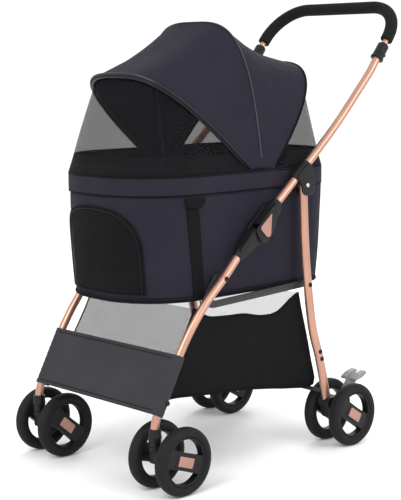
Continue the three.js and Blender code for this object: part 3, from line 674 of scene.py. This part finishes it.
# %% [markdown]
# ## Wheels, forks and brakes
# Eight small wheels stand in pairs. Each one is a fat foamed-rubber ring on a black
# moulded centre: a rim and a single broad bar, with a rose-gold cover let into the bar's
# outer face. The ring and rim are turned profiles. The bar is an outline in the wheel's
# own plane, tilted to the angle at which that wheel has stopped.
# %% Wheel parts
TYRE_HALF = [(48.5, -7.5), (49.2, -9.8), (52, -12), (56, -13), (60, -12.5), (63.4, -10.8), (65.8, -8.2),
             (67.1, -5), (67.5, -3.2), (67.0, -2.6), (67.5, -2.0)]
TYRE = TYRE_HALF + [(r, -h) for r, h in TYRE_HALF[::-1]]
RIM = [(44.6, -7.5), (45.6, -9.2), (47.4, -9.8), (49, -8.2), (49, 8.2), (47.4, 9.8), (45.6, 9.2), (44.6, 7.5)]
BAR_EDGE = [(-46.5, -21), (-38, -18), (0, -17), (38, -18), (46.5, -21)]
BAR = BAR_EDGE + [(a, -b) for a, b in BAR_EDGE[::-1]]
COVER = [(-19, -10), (19, -10), (19, 10), (-19, 10)]
COVER_SEAT = [(-25, -14.4), (25, -14.4), (25, 14.4), (-25, 14.4)]


def in_wheel_plane(outline, centre_y, centre_z, turn):
    c, s = math.cos(turn), math.sin(turn)
    return [(centre_y + a * c - b * s, centre_z + a * s + b * c) for a, b in outline]


def spun(x, centre, low, high, outline, turn, outward, radius):
    flat = in_wheel_plane(rounded(outline, radius), *centre, math.radians(turn))
    a, b = sorted((x + outward * low, x + outward * high))
    return plate(flat, a, b)


AXLE = {"front": (-247.6, 67.5), "rear": (247.6, 67.5)}
WHEEL_OFFSET = {"front": 38.7, "rear": 35.1}
FORK_HALF = {"front": 11, "rear": 15}
STOPPED = {("front", "left"): -19, ("front", "right"): -41, ("rear", "left"): -33, ("rear", "right"): -28}
for end, centre in AXLE.items():
    for word, side in SIDES.items():
        for place, away in (("outer", 1), ("inner", -1)):
            outward = side * away
            x = side * SIDE_X + outward * WHEEL_OFFSET[end]
            label = f"wheel_{end}_{word}_{place}"
            hub = at(x, *centre)
            tyre = turned(TYRE, hub, (1, 0, 0), 72)
            add_piece(f"tyre_{end}_{word}_{place}", *tyre, "wheel_rubber", label, [label], crease=65)
            turn = STOPPED[(end, word)]
            bar = spun(x, centre, -7.6, 7.6, BAR, turn, outward, 5)
            lip = spun(x, centre, 7.2, 8.6, COVER_SEAT, turn, outward, 4)
            boss_end = WHEEL_OFFSET[end] - FORK_HALF[end] - 0.6
            profile = [(0, 0), (12, 0), (12, 1), (12, boss_end - 1), (11, boss_end), (0, boss_end)]
            boss = turned(profile, hub, (-outward, 0, 0), 32)
            moulding = combined(turned(RIM, hub, (1, 0, 0), 64), bar, lip, boss)
            add_piece(f"hub_{end}_{word}_{place}", *moulding, "black_plastic", label, bevel=1.1, crease=45)
            cover_plate = spun(x, centre, 8.2, 9.8, COVER, turn, outward, 2.2)
            add_piece(f"cover_{end}_{word}_{place}", *cover_plate, "copper_plate", label, bevel=0.5)
print("eight wheels made")

# %% [markdown]
# Each pair of front wheels hangs from a fork that swivels under a socket at the leg's
# end, so the wheels trail behind the leg. The rear legs end in fixed brackets, and a
# grey pedal on each one locks the wheels. Forks, brackets and pedals are outlines with
# softened edges. Sockets and axles are turned.
# %% Casters, brackets and axles
FORK = [(-291, 97), (-292, 66), (-286, 61), (-279, 62), (-262, 62), (-254, 55.5), (-244, 55), (-236, 60),
        (-234.6, 68), (-238, 77), (-247, 80.5), (-262, 84), (-274, 90), (-276.5, 97)]
BRACKET = [(192, 92), (197, 88), (206, 62), (236, 52), (252, 52), (262, 62), (264, 84), (240, 90),
           (228, 109), (196, 108)]
EAR = [(238, 86), (264, 82), (262, 98), (256, 103), (248, 103), (242, 98)]
SOCKET = [(0, 98), (11.4, 98), (12.4, 99.5), (12.4, 112), (13.2, 113), (13.2, 117), (12.4, 118), (12.5, 129),
          (11.6, 131.5), (9, 131.7), (0, 131.7)]
PEDAL = [(246, 94), (260, 92), (272, 105), (291, 127), (303, 139), (297, 146), (281, 138), (262, 115),
         (248, 101)]
LOBE = [(275, 133), (300, 138), (313, 146), (311, 151), (290, 147), (274, 138)]
for word, side in SIDES.items():
    x = side * SIDE_X
    swivel = at(x, -285, 0)
    add_piece(f"socket_{word}", *turned(SOCKET, swivel, (0, 0, 1), 32), "black_plastic", "front_frame",
              [f"caster_socket_{word}"], crease=50)
    fork = combined(
        plate(rounded(FORK, 5), x - 11, x + 11),
        turned([(0, 88), (11.6, 88), (12, 89), (12, 96.4), (11.2, 97.4), (0, 97.4)], swivel, (0, 0, 1), 32),
        turned([(0, -13.4), (13, -13.4), (13, 13.4), (0, 13.4)], at(x, *AXLE["front"]), (1, 0, 0), 28),
    )
    add_piece(f"fork_{word}", *fork, "black_plastic", f"caster_{word}", [f"caster_fork_{word}"], bevel=1.6)
    ears = [plate(rounded(EAR, 3), x + a, x + b) for a, b in ((9.5, 14.5), (-14.5, -9.5))]
    body = combined(plate(rounded(BRACKET, 6), x - 15, x + 15), *ears)
    add_piece(f"wheel_bracket_{word}", *body, "black_plastic", "rear_frame",
              [f"rear_wheel_bracket_{word}"], bevel=1.6)
    lobes = [plate(rounded(LOBE, 3), x + a, x + b) for a, b in ((6, 21), (-21, -6))]
    pedal = combined(plate(rounded(PEDAL, 4), x - 8.8, x + 8.8), *lobes)
    add_piece(f"pedal_{word}", *pedal, "grey_plastic", f"brake_pedal_{word}",
              [f"brake_pedal_{word}"], bevel=1.4)
    for end, body_name in (("front", f"caster_{word}"), ("rear", "rear_frame")):
        reach = WHEEL_OFFSET[end] + 7
        rod = [(0, -reach), (3.6, -reach), (4, 0.5 - reach), (4, reach - 0.5), (3.6, reach), (0, reach)]
        add_piece(f"axle_{end}_{word}", *turned(rod, at(x, *AXLE[end]), (1, 0, 0), 20), "steel", body_name,
                  [f"{end}_axle_{word}"])
print("casters, brackets and pedals made")

# %% [markdown]
# ## Sheets
# Fabric and mesh are made as grids of points: rows of curves with the same number of
# points, skinned into one sheet. A Solidify modifier gives the cloth's thickness.
# %% Sheet helpers
def grid_faces(rows, columns, around=False):
    faces = []
    for r in range(rows - 1):
        for c in range(columns if around else columns - 1):
            d = (c + 1) % columns
            faces.append((r * columns + c, r * columns + d, (r + 1) * columns + d, (r + 1) * columns + c))
    return faces


def add_sheet(name, grid, finish, body, instead_of=(), thick=1.4, around=False, side=0.0, crease=70):
    grid = np.array(grid, float)
    rows, columns = grid.shape[:2]
    faces = grid_faces(rows, columns, around)
    piece = add_piece(name, grid.reshape(-1, 3), faces, finish, body, instead_of, crease=crease)
    cloth = piece.modifiers.new("cloth", "SOLIDIFY")
    cloth.thickness = thick * MM
    cloth.offset = side
    return piece


def piping(name, line, radius, finish, body, up=(0, 0, 1), closed=False, sides=12):
    return add_piece(name, *swept(line, oval(radius, radius, sides), up, closed), finish, body)


# %% [markdown]
# ## Front panel
# A broad strip of heavy fabric is stretched between the front legs and sewn round each
# one. It is flat across the middle, with a hem along both long edges, and it puckers a
# little where it turns round the tubes.
# %% Front panel
PANEL_LENGTH = 120
WRAP = 10.6
TUCK = 14
PANEL_ROWS = 30


def panel_section():
    points = [(SIDE_X - TUCK * (1 - k / 3), -WRAP, 0.0) for k in range(3)]
    points += [(SIDE_X + WRAP * math.sin(t), -WRAP * math.cos(t), 0.4) for t in np.linspace(0, math.pi, 13)]
    points += [(x, WRAP, 1.0) for x in np.linspace(SIDE_X - 6, 0, 26)]
    return points + [(-x, v, w) for x, v, w in points[-2::-1]]


panel_grid = []
for row in range(PANEL_ROWS + 1):
    down = PANEL_LENGTH * row / PANEL_ROWS
    hem = 0.7 if 6 < down < PANEL_LENGTH - 6 else 0.0
    line = []
    for x, out, flatness in panel_section():
        from_leg = SIDE_X - abs(x)
        pucker = 0.9 * math.exp(-max(from_leg, 0) / 16) * math.sin(down * 0.52 + x * 0.11) * flatness
        across = min(max(from_leg, 0) / SIDE_X, 1)
        sag = 1.6 * math.sin(math.pi * across * 0.5) * math.sin(math.pi * down / PANEL_LENGTH)
        line.append(at(x, *panel_at(down, out - hem * flatness + pucker - sag * flatness)))
    panel_grid.append(line)
panel = add_sheet("front_panel_cloth", panel_grid, "panel_fabric", "front_frame", ["front_panel"], thick=1.5)
for down in (6.5, PANEL_LENGTH - 6.5):
    row = [at(x, *panel_at(down, WRAP + 0.9)) for x in np.linspace(SIDE_X - 6, 6 - SIDE_X, 60)]
    piping(f"panel_stitch_{int(down)}", row, 0.55, "binding", "front_frame")
for down in (0, PANEL_LENGTH):
    edge = many_at([(x, *panel_at(down, out)) for x, out, _ in panel_section()])
    piping(f"panel_hem_{int(down)}", edge, 1.25, "panel_fabric", "front_frame",
                           up=(0, 0.881, -0.473))
SNAP = [(0, 0), (4.6, 0), (5, 0.8), (4.4, 2.2), (2.4, 2.6), (0, 2.6)]
snap = turned(SNAP, at(SIDE_X + WRAP + 0.6, -262, 179), (1, 0, 0), 24)
add_piece("panel_snap", *snap, "black_plastic", "front_frame", crease=50)

# %% [markdown]
# ## Storage basket
# The basket is a mesh bag slung under the carrier: a floor that rises to the front and
# rear walls, and two sides whose top edges dip in the middle. One strip makes the
# front, floor and rear. Each side is a sheet between that strip's edge and its own top
# edge, and it bellies outwards a little.
# %% Basket
BASKET_HALF = 161
FLOOR_POINTS = [(-158, 344), (-180, 303), (-222, 236), (-254, 181), (-200, 174), (-110, 165), (-20, 158),
                (60, 147), (110, 139), (188, 134), (180, 190), (165, 250), (151, 300), (141, 340)]
EDGE_POINTS = [(-158, 344), (-140, 334), (-118, 322), (-60, 317), (-20, 315), (28, 305), (75, 306),
               (118, 330), (141, 340)]
FLOOR_RUN = smooth_line([(y, z, 0) for y, z in FLOOR_POINTS], 16)[:, :2]
EDGE_RUN = smooth_line([(y, z, 0) for y, z in EDGE_POINTS], 12)[:, :2]


def spread_along(run, count):
    steps = np.concatenate([[0], np.cumsum(np.linalg.norm(np.diff(run, axis=0), axis=1))])
    marks = np.linspace(0, steps[-1], count)
    return np.column_stack([np.interp(marks, steps, run[:, k]) for k in range(2)])


strip = []
for y, z in FLOOR_RUN:
    slack = 3.0 * math.exp(-((y + 20) / 130) ** 2) if z < 200 else 0
    strip.append([at(x, y, z + slack * (abs(x) / BASKET_HALF) ** 2)
                  for x in np.linspace(-BASKET_HALF, BASKET_HALF, 25)])
floor_sheet = add_sheet("basket_floor", strip, "basket_net", "front_frame", ["storage_basket"], thick=1.2)
SIDE_STEPS = 60
low_run, top_run = spread_along(FLOOR_RUN, SIDE_STEPS + 1), spread_along(EDGE_RUN, SIDE_STEPS + 1)
for word, side in SIDES.items():
    rows = []
    for share in np.linspace(0, 1, 15):
        mixed = (1 - share) * low_run + share * top_run
        belly = 3.5 * math.sin(math.pi * share)
        rows.append([at(side * (BASKET_HALF + belly * math.sin(math.pi * k / SIDE_STEPS)), y, z)
                     for k, (y, z) in enumerate(mixed)])
    side_finish = "basket_fabric" if word == "left" else "basket_net"
    wall = add_sheet(f"basket_side_{word}", rows, side_finish, "front_frame", thick=1.2)
    top_line = [at(side * BASKET_HALF, y, z) for y, z in top_run]
    low_line = [at(side * BASKET_HALF, y, z) for y, z in low_run]
    trims = [piping(f"basket_edge_{word}", top_line, 2.4, "binding", "front_frame", up=(1, 0, 0)),
             piping(f"basket_seam_{word}", low_line, 1.5, "binding", "front_frame", up=(1, 0, 0))]

# %% [markdown]
# ## Carrier walls
# The cabin is a tub of padded fabric: rounded in plan, a little wider at the top than
# at the foot. Every level is the same rounded loop at a slightly different size, so the
# walls can be skinned from loop to loop. One function gives the wall's place at any
# height, and the door, straps and binding all use it to lie on the cloth.
# %% The carrier's plan
WALL_LOW = 357
WALL_HIGH = 567.6
RIM_TOP = 606
FOOT_PLAN = (155, -271, 247, 136, 80)
RIM_PLAN = (163, -281, 256, 140, 80)


def plan_at(z):
    share = (z - WALL_LOW) / (WALL_HIGH - WALL_LOW)
    swell = 1.4 * math.sin(math.pi * min(max(share, 0), 1))
    return [a + (b - a) * share for a, b in zip(FOOT_PLAN, RIM_PLAN)], swell


def plan_loop(z, out=0.0):
    (half, front, rear, front_r, rear_r), swell = plan_at(z)
    out += swell
    half, front, rear, front_r, rear_r = half + out, front - out, rear + out, front_r + out, rear_r + out
    loop = [(x, front) for x in np.linspace(0, half - front_r, 5)[:-1]]
    loop += [(half - front_r + front_r * math.sin(t), front + front_r - front_r * math.cos(t))
             for t in np.linspace(0, math.pi / 2, 30)]
    loop += [(half, y) for y in np.linspace(front + front_r, rear - rear_r, 34)[1:-1]]
    loop += [(half - rear_r + rear_r * math.cos(t), rear - rear_r + rear_r * math.sin(t))
             for t in np.linspace(0, math.pi / 2, 18)]
    loop += [(x, rear) for x in np.linspace(half - rear_r, 0, 8)[1:]]
    return np.array(loop + [(-x, y) for x, y in loop[-2:0:-1]])


def wall_x(y, z, out):
    (half, front, rear, front_r, rear_r), swell = plan_at(z)
    half, front, front_r = half + out + swell, front - out - swell, front_r + out + swell
    if y < front + front_r:
        return half - front_r + math.sqrt(max(front_r ** 2 - (front + front_r - y) ** 2, 0))
    return half


def front_y(x, z, out):
    (half, front, rear, front_r, rear_r), swell = plan_at(z)
    half, front, front_r = half + out + swell, front - out - swell, front_r + out + swell
    past = max(abs(x) - (half - front_r), 0)
    return front + front_r - math.sqrt(front_r ** 2 - past ** 2)


def ring(z, out=0.0):
    return [at(x, y, z) for x, y in plan_loop(z, out)]


# %% [markdown]
# The door's arch is wide and low: straight sides, then one flattened curve over the
# top. The same outline cuts the wall's opening and shapes the mesh door.
# %% Arch outline
DOOR_HALF, DOOR_LOW, DOOR_TOP = 112, 374, 545


def arch_side(inset=0.0, steps=18):
    half, low, top = DOOR_HALF - inset, DOOR_LOW + inset, DOOR_TOP - inset
    spring = top - half * 0.85
    side = [(half, z) for z in np.linspace(low, spring, 10)]
    a, b, c, d = (half, spring), (half, top - 12), (half * 0.6, top), (0, top)
    for u in np.linspace(0, 1, steps)[1:]:
        v = 1 - u
        side.append(tuple(v ** 3 * a[k] + 3 * v ** 2 * u * b[k] + 3 * v * u ** 2 * c[k] + u ** 3 * d[k]
                          for k in (0, 1)))
    return side


def lined(piece):
    piece.data.materials.append(finishes["dark_lining"])
    piece.modifiers["cloth"].material_offset = 1
    return piece


def applied(piece):
    view = bpy.context.evaluated_depsgraph_get()
    finished = bpy.data.meshes.new_from_object(piece.evaluated_get(view))
    piece.modifiers.clear()
    piece.data = finished


# %% [markdown]
# The walls are two padded sheets with a dark lining: charcoal round the front and
# sides, and grey across the back. Long shallow ripples keep the cloth from looking
# moulded. A Boolean cuts the door's opening, as scissors would, once the sheet is thick.
# %% Wall sheets
WALL_ROWS = np.linspace(WALL_LOW + 0.6, WALL_HIGH, 27)
REAR_FIRST, REAR_LAST = 74, 106


def wall_row(z):
    base = plan_loop(z)
    away = plan_loop(z, 1.0) - base
    run = np.linspace(0, 2 * math.pi, len(base), endpoint=False)
    share = (z - WALL_LOW) / (WALL_HIGH - WALL_LOW)
    fine = 0.35 * np.sin(17 * run + 5 * share) * np.sin(math.pi * share)
    ripple = fine + 0.25 * np.sin(9 * run - 9 * share)
    pull = 0.5 * math.exp(-((share - 1) * 14) ** 2)
    return [at(x, y, z) for x, y in base + away * (ripple - pull)[:, None]]


wall_grid = [wall_row(z) for z in WALL_ROWS]
side_columns = list(range(REAR_LAST, len(wall_grid[0]))) + list(range(REAR_FIRST + 1))
side_grid = [[row[c] for c in side_columns] for row in wall_grid]
walls = lined(add_sheet("carrier_walls", side_grid, "charcoal_fabric", "carrier", ["carrier_body"],
                        thick=2.8, side=-1))
arch = arch_side(4)
outline = arch + [(-x, z) for x, z in arch[-2::-1]]
tool_mesh = bpy.data.meshes.new("door_cutter")
count = len(outline)
tool_mesh.from_pydata([tuple(at(x, y, z)) for y in (-340, -120) for x, z in outline], [],
                      [tuple(range(count)), tuple(range(2 * count - 1, count - 1, -1))]
                      + [(k, k + count, (k + 1) % count + count, (k + 1) % count) for k in range(count)])
tool = bpy.data.objects.new("door_cutter", tool_mesh)
bpy.context.scene.collection.objects.link(tool)
opening = walls.modifiers.new("opening", "BOOLEAN")
opening.operation = "DIFFERENCE"
opening.object = tool
bpy.context.view_layer.update()
applied(walls)
bpy.data.objects.remove(tool)
rear_grid = [row[REAR_FIRST:REAR_LAST + 1] for row in wall_grid]
rear_wall = lined(add_sheet("carrier_rear_wall", rear_grid, "grey_backing", "carrier",
                            thick=2.8, side=-1))
print("walls:", len(walls.data.polygons), "faces")

# %% [markdown]
# A sewn tub shows where its panels meet. A thick black binding runs round the foot, a
# stitched line follows just above it, and a cord covers each rear corner's seam.
# %% Base, binding and seams
base_rows = []
outer = np.array([tuple(p) for p in ring(WALL_LOW + 1.4, -0.8)])
middle = outer.mean(axis=0)
for scale in np.linspace(1, 0.04, 14):
    base_rows.append(middle + (outer - middle) * scale)
base = add_sheet("carrier_base", base_rows, "binding", "carrier", thick=2.2, around=True)
wall_trims = [
    piping("carrier_foot_binding", ring(WALL_LOW + 4.2, 0.6), 3.2, "binding", "carrier", closed=True),
    piping("carrier_foot_seam", ring(WALL_LOW + 11, 0.5), 0.7, "binding", "carrier", closed=True, sides=8),
]
for word, side in SIDES.items():
    line = [row[side * REAR_FIRST] for row in wall_grid]
    wall_trims.append(piping(f"carrier_seam_rear_{word}", line, 1.5, "binding", "carrier", up=(1, 0, 0)))

# %% [markdown]
# The top edge is a stiff band that the hoops plug into. It is one strip of fabric
# folded over a core: up the outside, over the top and down the inside.
# %% Rim band
RIM_FOLD = [(1.0, 568.6), (1.7, 570.5), (1.9, 576), (1.9, 598), (1.6, 602.5), (0.6, 604.9), (-0.6, 605.6),
            (-1.8, 604.6), (-2.5, 602), (-2.7, 590), (-2.7, 572)]


def rim_ring(out, z):
    return [at(x, y, z) for x, y in plan_loop(WALL_HIGH, out)]


rim = add_sheet("rim_band", [rim_ring(out, z) for out, z in RIM_FOLD], "charcoal_fabric", "carrier",
                ["carrier_rim"], thick=1.0, around=True)
rim_trims = [
    piping("rim_seam", rim_ring(1.5, 568.8), 1.3, "binding", "carrier", closed=True),
    piping("rim_edge", rim_ring(1.3, 603.6), 1.5, "binding", "carrier", closed=True),
]
print("carrier shell made")

# %% [markdown]
# ## Floor board and cushion
# A stiff board lies in the tub, and a soft pad lies on the board. The pad starts as a
# slightly small rounded slab. It is remeshed into even cells and inflated by a cloth
# simulation, so it swells in the middle and pulls in at its edge.
# %% Horizontal slabs
def slab(levels):
    rings = [[at(x, y, z) for x, y in plan_loop(WALL_LOW, out)] for out, z in levels]
    count = len(rings[0])
    verts = [p for loop in rings for p in loop]
    faces = grid_faces(len(rings), count, True)
    return verts, faces + [tuple(range(count))[::-1], tuple(range(len(verts) - count, len(verts)))]


board_low = WALL_LOW + 3.3
board = slab([(-6, board_low), (-6, board_low + 4)])
add_piece("floor_board_panel", *board, "board", "carrier", ["floor_board"], bevel=0.8)


# %% [markdown]
# Pressure without gravity swells the pad evenly. The cap keeps every point close to
# where it began, so the pad can't push through the walls, and its foot stays flat.
# %% Inflate the pad
def inflate(piece, cell=0.006, pressure=4.0, cap=0.004):
    remesh = piece.modifiers.new("even_cells", "REMESH")
    remesh.mode = "VOXEL"
    remesh.voxel_size = cell
    applied(piece)
    start = np.array([tuple(v.co) for v in piece.data.vertices])
    cloth = piece.modifiers.new("swell", "CLOTH")
    cloth.settings.use_pressure = True
    cloth.settings.uniform_pressure_force = pressure
    cloth.settings.effector_weights.gravity = 0
    for frame_number in range(1, 21):
        bpy.context.scene.frame_set(frame_number)
    view = bpy.context.evaluated_depsgraph_get()
    swollen = np.array([tuple(v.co) for v in piece.evaluated_get(view).data.vertices])
    piece.modifiers.clear()
    move = swollen - start
    length = np.linalg.norm(move, axis=1, keepdims=True)
    start = start + move * np.minimum(1, cap / np.maximum(length, 1e-9))
    for vertex, place in zip(piece.data.vertices, start):
        vertex.co = place
    smoother = piece.modifiers.new("smooth", "SUBSURF")
    smoother.levels = smoother.render_levels = 1
    piece.data.shade_smooth()


pad_low = board_low + 4 + 1.2
pad_levels = [(-15, pad_low), (-11, pad_low + 6), (-11, pad_low + 13), (-17, pad_low + 19)]
pad = add_piece("cushion_pad", *slab(pad_levels), "plush", "carrier", ["cushion"])
inflate(pad)
for vertex in pad.data.vertices:
    vertex.co.z = max(vertex.co.z, (pad_low - 0.6) * MM)
print("pad:", len(pad.data.vertices), "points")

# %% [markdown]
# ## Front door and side straps
# The pet looks out through an arched mesh door in the front wall. It hangs from its
# bottom edge and follows the wall's round corners. A zip and a corded edge run round it.
# %% Front door
door_rows = []
for x_side, z in arch_side(0.8):
    door_rows.append([at(t * x_side, front_y(t * x_side, z, 1.3 + 0.9 * (1 - t * t)), z)
                      for t in np.linspace(-1, 1, 45)])
door = add_sheet("front_door_mesh", door_rows, "black_mesh", "front_door", ["front_door"], thick=0.7)


def on_front(points, out):
    return [at(x, front_y(x, z, out), z) for x, z in points]


def arch_loop(inset):
    half = arch_side(inset)
    return half + [(-x, z) for x, z in half[-2::-1]]


tape_rows = [on_front(arch_loop(inset), 2.0) for inset in (0.4, 3, 6.5, 9)]
zip_tape = add_sheet("door_zip_tape", tape_rows, "binding", "front_door", thick=0.9)
door_cord = piping("door_cord", on_front(arch_loop(1.0), 2.6), 1.9, "binding", "front_door", up=(0, -1, 0))
door_teeth = piping("door_zip_teeth", on_front(arch_loop(5.0), 2.9), 0.8, "black_plastic", "front_door",
                    up=(0, -1, 0))
hem_points = [(x, DOOR_LOW + 2) for x in np.linspace(2 - DOOR_HALF, DOOR_HALF - 2, 45)]
door_hem = piping("door_hem", on_front(hem_points, 2.0), 1.8, "binding", "front_door", up=(0, 0, 1))

# %% [markdown]
# Each side has one vertical webbing strap with a wider stitched tab at its head. Both
# are flat woven tape, so they lie on the wall as thin strips.
# %% Side straps
STRAP = [(-160.5, 542, 14.5), (-152, 470, 14), (-146, 420, 13.5), (-141, 368, 13), (-140, 358.5, 13)]
TAB = [(-154, 563, 25), (-154, 559, 25), (-155, 550, 23), (-157, 543, 17)]


def strap_sheet(name, run, side, out, thick):
    line = spread_along(np.array([p[:2] for p in run]), 24)
    half_width = np.interp(line[:, 1], [p[1] for p in run[::-1]], [p[2] for p in run[::-1]])
    rows = [[at(side * wall_x(y + w * half, z, out), y + w * half, z) for w in np.linspace(-1, 1, 9)]
            for (y, z), half in zip(line, half_width)]
    return add_sheet(name, rows, "webbing", "carrier", thick=thick)


for word, side in SIDES.items():
    strap = strap_sheet(f"side_strap_{word}", STRAP, side, 1.5, 1.5)
    tab = strap_sheet(f"strap_tab_{word}", TAB, side, 2.6, 1.6)
print("door and straps made")

# %% [markdown]
# The pocket is an open-topped mesh bag on the rear wall. Elastic gathers its mouth, so
# its folds are strongest at the top and fade towards the bottom.
# %% Rear pocket
POCKET_LOW, POCKET_HEIGHT, POCKET_HALF = 379, 120, 79
pocket_rows = []
for z in np.linspace(POCKET_LOW, POCKET_LOW + POCKET_HEIGHT, 17):
    share = (z - POCKET_LOW) / POCKET_HEIGHT
    depth = 16 + 6 * math.sin(math.pi * (0.25 + 0.6 * share))
    row = []
    for u in np.linspace(-1, 1, 49):
        gather = 0.8 * math.cos(30 * math.pi * u) * share ** 6
        row.append(at(POCKET_HALF * u, 256.5 + depth * (1 - abs(u) ** 3) ** 0.7 + gather, z))
    pocket_rows.append(row)
pocket = add_sheet("rear_pocket_mesh", pocket_rows, "black_mesh", "carrier", ["rear_pocket"], thick=0.8)
pocket_edge = piping("rear_pocket_edge", pocket_rows[-1], 2.0, "binding", "carrier")
floor_rows = [[at(POCKET_HALF * u, 256 + depth * (1 - abs(u) ** 3) ** 0.7, POCKET_LOW + 0.5)
               for u in np.linspace(-1, 1, 33)] for depth in np.linspace(0, 1, 5) * 19]
pocket_floor = add_sheet("rear_pocket_floor", floor_rows, "black_mesh", "carrier", thick=0.8)

# %% [markdown]
# ## Canopy
# Three springy hoops carry the canopy. They lean forward, up and back, and each is a
# rounded arch. The cover is one sheet stretched over all three: it sags between them,
# because cloth between two hoops is pulled along the hoops as well as across.
# %% Hoops
FRONT_HOOP = dict(foot=10, lean=140, half=148, reach=297, power=3.1)
MIDDLE_HOOP = dict(foot=40, lean=98.7, half=150, reach=297, power=3.5)
REAR_HOOP = dict(foot=70, lean=51, half=154, reach=273, power=2.7)
CROWDING = 1.8


def hoop_point(hoop, turn, grow=0.0, shift=0.0):
    c, s = math.cos(turn), math.sin(turn)
    x = (hoop["half"] + grow) * math.copysign(abs(c) ** (2 / hoop["power"]), c)
    along = (hoop["reach"] + grow) * abs(s) ** (2 / hoop["power"])
    lean = math.radians(hoop["lean"])
    return np.array([x, hoop["foot"] + along * math.cos(lean) + shift * math.sin(lean),
                     RIM_TOP + along * math.sin(lean) - shift * math.cos(lean)])


def hoop_line(hoop, margin=0.006, grow=0.0, shift=0.0, count=81):
    quarter = margin + (math.pi / 2 - margin) * np.linspace(0, 1, count // 2 + 1) ** CROWDING
    turns = np.concatenate([quarter, math.pi - quarter[-2::-1]])
    return many_at([tuple(hoop_point(hoop, t, grow, shift)) for t in turns])


for name, hoop, body in (("front_bow", FRONT_HOOP, "canopy_front_bow"),
                         ("middle_bow", MIDDLE_HOOP, "canopy_middle_bow"),
                         ("rear_bow", REAR_HOOP, "carrier")):
    rod = swept(hoop_line(hoop), oval(3.3, 3.3, 14), (0, 0, 1))
    add_piece(f"{name}_rod", *rod, "hoop_rod", body, [name])

# %% [markdown]
# The cover runs from hoop to hoop. Its points crowd towards the rim, because a small
# turn there is a long way up the hoop. It is attached to no body.
# %% Canopy cover
QUARTER = math.pi / 2 * np.linspace(0, 1, 46) ** CROWDING + 1e-5
TURNS = np.concatenate([QUARTER, math.pi - QUARTER[-2::-1]])
SPANS = ((FRONT_HOOP, MIDDLE_HOOP, 9.0), (MIDDLE_HOOP, REAR_HOOP, 15.0))
COVER_OUT = 5.3
CANOPY_MIDDLE = np.array([0, 20, RIM_TOP + 40])
cover_rows = []
for first, second, sag in SPANS:
    shares = np.linspace(0, 1, 17)
    for share in shares[:-1] if first is FRONT_HOOP else shares:
        row = []
        for turn in TURNS:
            a, b = hoop_point(first, turn, COVER_OUT), hoop_point(second, turn, COVER_OUT)
            high = abs(math.sin(turn)) ** 0.7
            crease = 0.5 * math.sin(26 * turn + 9 * share) * math.sin(math.pi * share) * high
            inward = (sag * math.sin(math.pi * share) + crease) * high
            spot = a + (b - a) * share
            toward = CANOPY_MIDDLE - spot
            spot = spot + toward / np.linalg.norm(toward) * inward
            row.append(at(*spot))
        cover_rows.append(row)
cover = lined(add_sheet("canopy_cover_cloth", cover_rows, "charcoal_fabric", None, ["canopy_cover"],
                        thick=1.4, side=-1))
canopy_trims = [
    piping("canopy_front_cord", hoop_line(FRONT_HOOP, 0.012, 5.6, 2.4), 2.5, "hoop_rod", "canopy_front_bow"),
    piping("canopy_front_cord_inner", hoop_line(FRONT_HOOP, 0.012, 1.2, 5.6), 2.2, "hoop_rod",
           "canopy_front_bow"),
    piping("canopy_middle_seam", hoop_line(MIDDLE_HOOP, 0.012, 6.4), 1.1, "grey_backing",
           "canopy_middle_bow"),
    piping("canopy_rear_binding", hoop_line(REAR_HOOP, 0.012, 5.4, -1.0), 2.2, "binding", "carrier"),
]
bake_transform(cover)
print("cover:", len(cover.data.polygons), "faces")

# %% [markdown]
# Mesh windows close the gaps between the rim and the first and last hoops. Each is
# ruled from the rim's path up to its hoop. The front window and its band get meshes of
# their own.
# %% Mesh windows
def along_line(line, shares):
    steps = np.concatenate([[0], np.cumsum(np.linalg.norm(np.diff(line, axis=0), axis=1))])
    return np.column_stack([np.interp(np.array(shares) * steps[-1], steps, line[:, k]) for k in range(3)])


def rim_run(foot, front):
    loop = np.array([tuple(p) for p in ring(WALL_HIGH, 0.6)])
    loop[:, 2] = (RIM_TOP + 0.6) * MM
    foot_y = at(0, foot, 0).y
    half = len(loop) // 2
    line = loop[:half + 1] if front else loop[half::-1]
    keep = line[:, 1] < foot_y if front else line[:, 1] > foot_y
    side = np.vstack([line[keep], [[line[keep][-1][0], foot_y, line[0, 2]]]])
    mirror = side[-1::-1] * np.array([-1, 1, 1])
    return np.vstack([mirror, side[1:]])


SHARES = np.linspace(0, 1, 91)
BAND_HEIGHT = 36


def window_rows(hoop, front):
    low = along_line(rim_run(hoop["foot"], front), SHARES)
    high = along_line(np.array([tuple(p) for p in hoop_line(hoop, 1e-4, -3.4)]), SHARES[::-1])
    rows = []
    for share in np.linspace(0, 1, 25):
        puff = 0.0035 * math.sin(math.pi * share) * np.sin(math.pi * SHARES)
        line = low + (high - low) * share
        line[:, 1] += puff * (-1 if front else 1)
        rows.append(line)
    return rows


def band_rows(rows, front, height=BAND_HEIGHT):
    low, high = rows[0], rows[-1]
    tall = np.maximum(high[:, 2] - low[:, 2], 1e-6)
    share = np.minimum(height * MM / tall, 1)[:, None]
    out = np.array([0, -0.0011 if front else 0.0011, 0])
    return [low + (high - low) * share * step + out for step in np.linspace(0, 1, 6)]


windows = {}
for name, hoop, front, replaced in (("front", FRONT_HOOP, True, "front_screen"),
                                    ("rear", REAR_HOOP, False, "rear_screen")):
    rows = window_rows(hoop, front)
    mesh_window = add_sheet(f"{name}_window", rows, "open_mesh", "carrier", [replaced], thick=0.6)
    window_band = add_sheet(f"{name}_window_band", band_rows(rows, front), "basket_fabric", "carrier",
                            thick=0.8)
    windows[name] = (mesh_window, window_band)
for piece in windows["front"]:
    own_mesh(piece)
print("windows made")

# %% [markdown]
# ## Finish
# The last step takes the box round the finished stroller, leaving out the floor.
# %% Measure the finished stroller
low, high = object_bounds()
